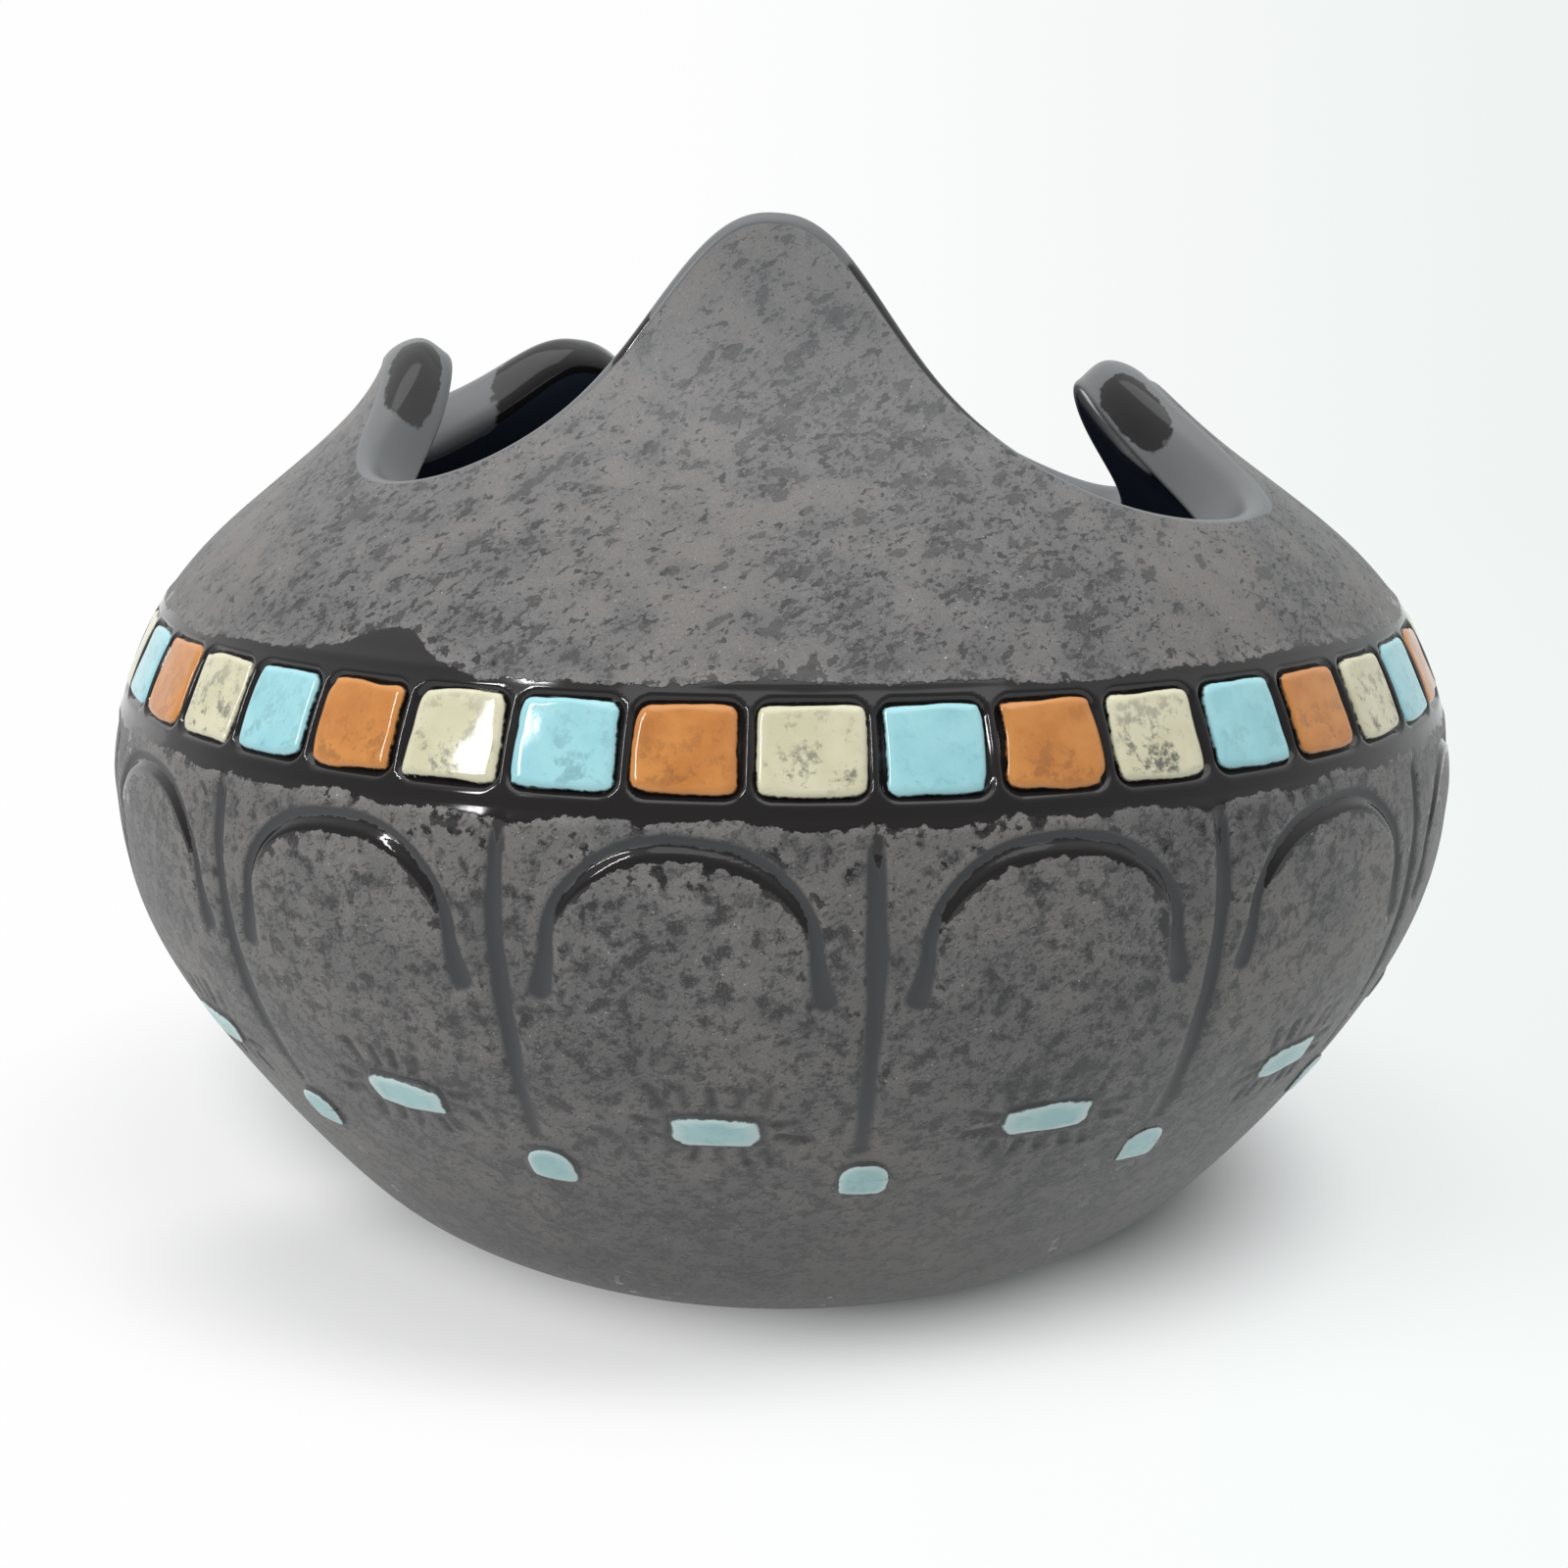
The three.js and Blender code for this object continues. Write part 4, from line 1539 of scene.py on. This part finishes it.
@dataclass(frozen=True)
class PadGlaze:
    """A coloured glaze laid thickly on the clay, with dark smudges showing through."""

    name: str
    colour: str
    deep: str
    light: str
    smudge: str
    smudge_amount: float
    edge_light: float
    roughness: float
    speckle: float = 0.0
    surround: str = "181414"
    surround_roughness: float = 0.1

    def material(self) -> bpy.types.Material:
        """Build the nodes once.

        Returns:
            The material: colour within the outline, and the body's pooled black outside it.
        """
        label = f"{self.name}_look"
        found = bpy.data.materials.get(label)
        if found is not None:
            return found
        g = Graph(label)
        cloud = g.noise(5.0, 4.0, 0.55, shift=0.21)
        smudges = g.noise(2.6, 6.0, 0.68, shift=0.44)
        grain = g.noise(0.55, 3.0, 0.6)
        edge = g.mark("edge")
        wander = g.times(g.minus(g.noise(0.9, 3.0, 0.6), 0.5), 0.3)
        inside = g.rise(g.plus(edge, wander), 0.02, 0.16)
        colour = g.blend(g.rise(cloud, 0.35, 0.65), srgb(self.deep), srgb(self.colour))
        rim = g.minus(1.0, g.rise(g.plus(edge, wander), 0.15, 1.1))
        colour = g.blend(g.times(rim, self.edge_light), colour, srgb(self.light))
        low = g.rise(g.mark("along"), 1.0, -0.8)
        middle = g.rise(edge, 0.1, 1.1)
        rubbed = g.plus(smudges, g.times(g.minus(grain, 0.5), 0.22))
        worn = g.times(g.times(middle, g.between(low, 0.35, 1.0)), g.mark("wear"))
        smeared = g.times(g.rise(rubbed, 0.49, 0.62), worn)
        colour = g.blend(g.times(smeared, self.smudge_amount), colour, srgb(self.smudge))
        if self.speckle > 0.0:
            dots = g.times(g.rise(grain, 0.63, 0.72), self.speckle)
            colour = g.blend(dots, colour, srgb(self.light))
        colour = g.blend(inside, srgb(self.surround), colour)
        roughness = g.between(inside, self.surround_roughness, self.roughness)
        peel = g.bump(cloud, 0.12, 0.25)
        g.give(g.shader.inputs["Base Color"], colour)
        g.give(g.shader.inputs["Roughness"], roughness)
        g.give(g.shader.inputs["Normal"], g.bump(grain, 0.02, 0.2, peel))
        g.shader.inputs["IOR"].default_value = 1.5
        return g.material

    def dress(self, piece: bpy.types.Object) -> None:
        """Give a piece this glaze."""
        piece.data.materials.clear()
        piece.data.materials.append(self.material())


TURQUOISE = PadGlaze("turquoise_glaze", "abe2e9", "9fd9e2", "b9eaef", "6a989f", 0.55, 0.3, 0.11)
ORANGE = PadGlaze("orange_glaze", "d8914c", "ca8242", "dd9a5c", "8c5a34", 0.5, 0.35, 0.11, 0.25)
CREAM = PadGlaze("cream_glaze", "e2dec0", "d8d3b2", "ebe8cd", "5c5c55", 0.95, 0.35, 0.12)
PALE_TURQUOISE = PadGlaze(
    "pale_turquoise_glaze", "c2eaeb", "b6e0e2", "dcf2f1", "83afb1", 0.35, 0.9, 0.32, 0.0, "4c4d4e", 0.42
)


@dataclass
class TileBand:
    """Forty-two raised glazed tiles in the channel round the shoulder, in mm and degrees."""

    form: PotForm
    carving: Carving
    width: float = 10.6
    corner: float = 1.3
    wobble: float = 0.2
    points: int = 96
    pad: PadShape = field(default_factory=PadShape)
    glazes: tuple[PadGlaze, ...] = (TURQUOISE, ORANGE, CREAM)
    seed: int = 5

    def build(self) -> list[bpy.types.Object]:
        """Make every tile, each in the place of its own CAD solid.

        Returns:
            The finished pieces.
        """
        count = self.carving.panels * self.carving.tiles_per_panel
        return [self._tile(index, count) for index in range(count)]

    def _tile(self, index: int, count: int) -> bpy.types.Object:
        """Make one tile."""
        draw = np.random.default_rng(self.seed * 1000 + index)
        glaze = self.glazes[index % len(self.glazes)]
        colour = glaze.name.replace("_glaze", "")
        node = f"band_tile_{index + 1:02d}_{colour}"
        turn = self.carving.front_groove + (index + 0.5) * 360.0 / count + draw.normal(0.0, 0.06)
        lean = math.radians(self.form.band_lean)
        seat = Seat(
            math.radians(turn),
            self.form.band_radius,
            self.form.band_height,
            (-math.sin(lean), math.cos(lean)),
            (math.cos(lean), math.sin(lean)),
        )
        width = self.width + draw.normal(0.5, 0.2)
        height = self.form.tile_height + draw.normal(0.2, 0.16)
        corner = self.corner * draw.uniform(0.85, 1.3)
        outline = rounded_outline(width, height, corner, self.points, draw, self.wobble)
        shape = self.pad.build(f"{node}_glaze", seat, outline, draw)
        piece = shape.finished()
        glaze.dress(piece)
        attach(piece, "root")
        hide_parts(node)
        return piece


@dataclass
class BellyPads:
    """Turquoise bars in the panels and turquoise dots under the grooves, in mm and degrees."""

    form: PotForm
    carving: Carving
    bar_width: float = 10.2
    bar_tall: float = 4.6
    bar_corner: float = 1.2
    dot_height: float = 36.5
    dot_width: float = 5.6
    dot_tall: float = 5.8
    dot_corner: float = 1.1
    sink: float = 0.2
    points: int = 72
    wobble: float = 0.13
    glaze: PadGlaze = PALE_TURQUOISE
    pad: PadShape = field(
        default_factory=lambda: PadShape(
            top=0.42, crown=0.1, roll=0.7, edge_drop=0.26, skirt=0.26, floor=-0.05, bottom=-0.9, dimple=0.05
        )
    )
    seed: int = 23

    def _seat(self, azimuth: float, height: float) -> Seat:
        """A seat on the outside of the wall."""
        at = np.array([height])
        out, up = (float(part[0]) for part in self.form.normal(at))
        radius = float(self.form.outline.value(at)[0])
        return Seat(azimuth, radius - self.sink * out, height - self.sink * up, (-up, out), (out, up))

    def _bar(self, panel: int) -> bpy.types.Object:
        """Make one bar, in the place of its CAD solid."""
        draw = np.random.default_rng(self.seed * 1000 + panel)
        pitch = 360.0 / self.carving.panels
        turn = self.carving.front_groove + (panel + 0.5) * pitch + self.carving.bar_shift
        width = self.bar_width + draw.normal(0.0, 0.2)
        outline = rounded_outline(width, self.bar_tall, self.bar_corner, self.points, draw, self.wobble)
        tip = math.radians(draw.normal(0.0, 1.6))
        turned = np.array([[math.cos(tip), math.sin(tip)], [-math.sin(tip), math.cos(tip)]])
        seat = self._seat(math.radians(turn), self.carving.bar_height)
        node = f"belly_bar_{panel + 1:02d}"
        piece = self.pad.build(f"{node}_glaze", seat, outline @ turned, draw).finished()
        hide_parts(node)
        return piece

    def _dot(self, panel: int) -> bpy.types.Object:
        """Make one dot: domed above, flat below."""
        draw = np.random.default_rng(self.seed * 2000 + panel)
        turn = self.carving.front_groove + panel * 360.0 / self.carving.panels + draw.normal(0.3, 0.15)
        size = (self.dot_width, self.dot_tall, self.dot_corner)
        outline = rounded_outline(*size, self.points, draw, self.wobble)
        raised = outline[:, 1] > 0.0
        share = np.clip(np.abs(outline[:, 0]) / (0.5 * self.dot_width), 0.0, 1.0)
        dome = 0.5 * self.dot_tall * np.sqrt(np.maximum(0.0, 1.0 - share**2.3))
        outline[:, 1] = np.where(raised, np.minimum(outline[:, 1], dome), outline[:, 1])
        seat = self._seat(math.radians(turn), self.dot_height)
        return self.pad.build(f"belly_dot_{panel + 1:02d}", seat, outline, draw).finished()

    def build(self) -> list[bpy.types.Object]:
        """Make every bar and dot.

        Returns:
            The finished pieces.
        """
        panels = range(self.carving.panels)
        pieces = [self._bar(panel) for panel in panels] + [self._dot(panel) for panel in panels]
        for piece in pieces:
            self.glaze.dress(piece)
            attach(piece, "root")
        return pieces


@dataclass(frozen=True)
class Shade:
    """An oval of floor round the pot's foot where the paper's glow gives way to its own shading.

    place is its centre and radii its half sizes in metres, turn is in radians, inner is the share
    of its radius that has the full strength.
    """

    place: tuple[float, float]
    turn: float
    radii: tuple[float, float]
    inner: float
    strength: float


@dataclass
class Studio:
    """A white sweep, soft lamps and the camera, in metres, watts and radians.

    dimmed is how much of the paper's glow gives way everywhere, and dimmed_right how much more of
    it on the right behind the pot. sky_reach and sky_strength are the room's light by how far a
    direction goes along sky_way.
    """

    sweep_width: float = 5.0
    sweep_front: float = -2.2
    sweep_back: float = 1.1
    sweep_bend: float = 0.6
    sweep_top: float = 2.6
    paper: str = "f9fefd"
    paper_bright: str = "ffffff"
    paper_lit: str = "b4b6b6"
    shades: tuple[Shade, ...] = (
        Shade((-0.028, -0.025), -0.135, (0.073, 0.041), 0.5, 0.21),
        Shade((-0.008, 0.045), -0.134, (0.137, 0.124), 0.6, 0.19),
        Shade((-0.008, 0.06), -1.01, (0.125, 0.089), 0.55, 1.0),
    )
    dimmed: float = 0.012
    dimmed_right: float = 0.125
    camera_place: tuple[float, float, float] = (0.0, -0.3126, 0.1331)
    camera_aim: tuple[float, float, float] = (0.0003, 0.0, 0.0640)
    camera_roll: float = 0.006
    camera_lens: float = 52.2
    lamp_aim: tuple[float, float, float] = (0.0, 0.0, 0.07)
    pane_count: int = 3
    pane_middle: tuple[float, float, float] = (-0.81, -0.66, 0.75)
    pane_along: tuple[float, float, float] = (0.63, -0.777, 0.0)
    pane_gap: float = 0.032
    pane_size: tuple[float, float] = (0.016, 0.5)
    pane_power: float = 1.6
    top_place: tuple[float, float, float] = (0.05, -0.35, 1.45)
    top_size: tuple[float, float] = (1.5, 1.3)
    top_power: float = 6.8
    sky_colour: str = "fbfcfd"
    sky_way: tuple[float, float, float] = (0.12, 0.62, 0.77)
    sky_reach: tuple[float, float] = (-0.3, 0.95)
    sky_strength: tuple[float, float] = (0.33, 1.12)

    def camera(self) -> None:
        """Stand the camera where the photograph was taken from."""
        place = Vector(self.camera_place)
        back = (place - Vector(self.camera_aim)).normalized()
        right = Vector((0.0, 0.0, 1.0)).cross(back).normalized()
        up = back.cross(right)
        side = right * math.cos(self.camera_roll) + up * math.sin(self.camera_roll)
        head = up * math.cos(self.camera_roll) - right * math.sin(self.camera_roll)
        lens = bpy.data.cameras.new("camera")
        lens.lens = self.camera_lens
        lens.sensor_width = 36.0
        lens.clip_start = 0.01
        lens.clip_end = 30.0
        holder = bpy.data.objects.new("camera", lens)
        axes = Matrix((side, head, back)).transposed().to_4x4()
        holder.matrix_world = Matrix.Translation(place) @ axes
        bpy.context.scene.collection.objects.link(holder)
        bpy.context.scene.camera = holder

    def _paper_material(self) -> bpy.types.Material:
        """Paper that takes the pot's shadow near it and is plain white further off."""
        g = Graph("studio_paper")
        g.give(g.shader.inputs["Base Color"], srgb(self.paper_lit))
        g.shader.inputs["Roughness"].default_value = 0.9
        g.shader.inputs["Specular IOR Level"].default_value = 0.1
        parts = g.tree.nodes.new("ShaderNodeSeparateXYZ")
        g.tree.links.new(g.place, parts.inputs["Vector"])
        # The bearing from the camera's foot, with a depth that grows behind the camera too
        ahead = g.plus(parts.outputs["Y"], 0.32)
        behind = g.most(g.times(ahead, -1.5), 0.0)
        depth = g.plus(g.most(ahead, 0.1), behind)
        bearing = g.math("DIVIDE", parts.outputs["X"], depth)
        left = g.rise(g.times(bearing, -1.0), -0.42, 0.12)
        tone = g.blend(left, srgb(self.paper), srgb(self.paper_bright))
        glow = g.tree.nodes.new("ShaderNodeEmission")
        g.give(glow.inputs["Color"], tone)
        glow.inputs["Strength"].default_value = 1.0
        path = g.tree.nodes.new("ShaderNodeLightPath")
        seen = g.most(path.outputs["Is Camera Ray"], path.outputs["Is Glossy Ray"])
        seen = g.most(seen, path.outputs["Is Transmission Ray"])
        right = g.times(g.rise(bearing, -0.12, 0.38), g.rise(parts.outputs["Y"], -0.07, 0.01))
        dim = g.plus(self.dimmed, g.times(right, self.dimmed_right))
        for shade in self.shades:
            dim = g.plus(dim, self._shade_share(g, shade))
        clear = g.most(g.minus(1.0, dim), 0.0)
        mix = g.tree.nodes.new("ShaderNodeMixShader")
        g.give(mix.inputs[0], g.times(seen, clear))
        g.tree.links.new(g.shader.outputs["BSDF"], mix.inputs[1])
        g.tree.links.new(glow.outputs["Emission"], mix.inputs[2])
        g.tree.links.new(mix.outputs["Shader"], g.output.inputs["Surface"])
        return g.material

    @staticmethod
    def _shade_share(g: Graph, shade: Shade) -> Socket:
        """The shade's strength at each place: full within its inner share, then a smooth fall."""
        oval = g.tree.nodes.new("ShaderNodeMapping")
        oval.vector_type = "TEXTURE"
        g.tree.links.new(g.place, oval.inputs["Vector"])
        oval.inputs["Location"].default_value = (*shade.place, 0.0)
        oval.inputs["Rotation"].default_value = (0.0, 0.0, shade.turn)
        oval.inputs["Scale"].default_value = (*shade.radii, 0.1)
        length = g.tree.nodes.new("ShaderNodeVectorMath")
        length.operation = "LENGTH"
        g.tree.links.new(oval.outputs["Vector"], length.inputs[0])
        left = g.minus(1.0, g.rise(length.outputs["Value"], shade.inner, 1.0))
        return g.times(left, shade.strength)

    def sweep(self) -> bpy.types.Object:
        """Make the floor and backdrop: a flat floor, a quarter circle and an upright wall."""
        bend = np.linspace(0.0, 0.5 * math.pi, 24)
        floor = np.array([self.sweep_front, self.sweep_back])
        curve_y = self.sweep_back + self.sweep_bend * np.sin(bend)[1:]
        curve_z = self.sweep_bend * (1.0 - np.cos(bend))[1:]
        y = np.concatenate([floor, curve_y, curve_y[-1:]])
        z = np.concatenate([[0.0, 0.0], curve_z, [self.sweep_top]])
        x = 0.5 * self.sweep_width * np.array([-1.0, 1.0])
        points = np.stack(np.broadcast_arrays(x[:, None], y, z), axis=-1)
        shape = Shape("studio_sweep")
        shape.add_grid(shape.add_points(points)[::-1], wraps=False)
        piece = shape.finished()
        piece.data.materials.append(self._paper_material())
        return piece

    def _lamp(self, name: str, place: tuple, size: tuple[float, float], power: float) -> None:
        """Hang one soft rectangular lamp that points at the pot."""
        data = bpy.data.lights.new(name, "AREA")
        data.shape = "RECTANGLE"
        data.size, data.size_y = size
        data.energy = power
        holder = bpy.data.objects.new(name, data)
        direction = Vector(self.lamp_aim) - Vector(place)
        holder.rotation_euler = direction.to_track_quat("-Z", "Y").to_euler()
        holder.location = place
        bpy.context.scene.collection.objects.link(holder)

    def lamps(self) -> None:
        """Hang the three panes of a window on the left and the soft box overhead."""
        for pane in range(self.pane_count):
            shift = self.pane_gap * (pane - 0.5 * (self.pane_count - 1))
            place = Vector(self.pane_middle) + Vector(self.pane_along) * shift
            self._lamp(f"window_pane_{pane + 1}", tuple(place), self.pane_size, self.pane_power)
        self._lamp("soft_top", self.top_place, self.top_size, self.top_power)

    def world(self) -> None:
        """Light the room: white above and behind on the left, dim towards the camera's side."""
        world = bpy.data.worlds.new("studio_room")
        bpy.context.scene.world = world
        world.use_nodes = True
        tree = world.node_tree
        tree.nodes.clear()
        output = tree.nodes.new("ShaderNodeOutputWorld")
        ground = tree.nodes.new("ShaderNodeBackground")
        way = tree.nodes.new("ShaderNodeTexCoord")
        toward = tree.nodes.new("ShaderNodeVectorMath")
        toward.operation = "DOT_PRODUCT"
        tree.links.new(way.outputs["Generated"], toward.inputs[0])
        toward.inputs[1].default_value = self.sky_way
        spread = tree.nodes.new("ShaderNodeMapRange")
        spread.interpolation_type = "SMOOTHSTEP"
        tree.links.new(toward.outputs["Value"], spread.inputs["Value"])
        for end, reach, strength in zip(("Min", "Max"), self.sky_reach, self.sky_strength):
            spread.inputs[f"From {end}"].default_value = reach
            spread.inputs[f"To {end}"].default_value = strength
        path = tree.nodes.new("ShaderNodeLightPath")
        plain = tree.nodes.new("ShaderNodeMix")
        plain.data_type = "FLOAT"
        tree.links.new(path.outputs["Is Camera Ray"], plain.inputs[0])
        tree.links.new(spread.outputs["Result"], plain.inputs[2])
        plain.inputs[3].default_value = 1.0
        ground.inputs["Color"].default_value = srgb(self.sky_colour)
        tree.links.new(plain.outputs[0], ground.inputs["Strength"])
        tree.links.new(ground.outputs["Background"], output.inputs["Surface"])


def main() -> None:
    """Build the pot and the studio."""
    logging.basicConfig(level=logging.INFO, format="%(message)s")
    bpy.context.scene.view_settings.view_transform = "Standard"
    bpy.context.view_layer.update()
    studio = Studio()
    studio.camera()
    form = PotForm()
    carving = Carving(form)
    blackware = Blackware()
    skin = BellySkin(form, carving)
    bed = BandBed(form, carving)
    pieces = [skin.build(side, blackware) for side in Side]
    pieces.append(bed.build(blackware))
    pieces.append(PotWall(form, carving, skin, bed).build(blackware))
    pieces.extend(TileBand(form, carving).build())
    pieces.extend(BellyPads(form, carving).build())
    for piece in pieces:
        LOG.info("%s: %d faces", piece.name, len(piece.data.polygons))
    studio.sweep()
    studio.lamps()
    studio.world()


if __name__ == "__main__":
    main()
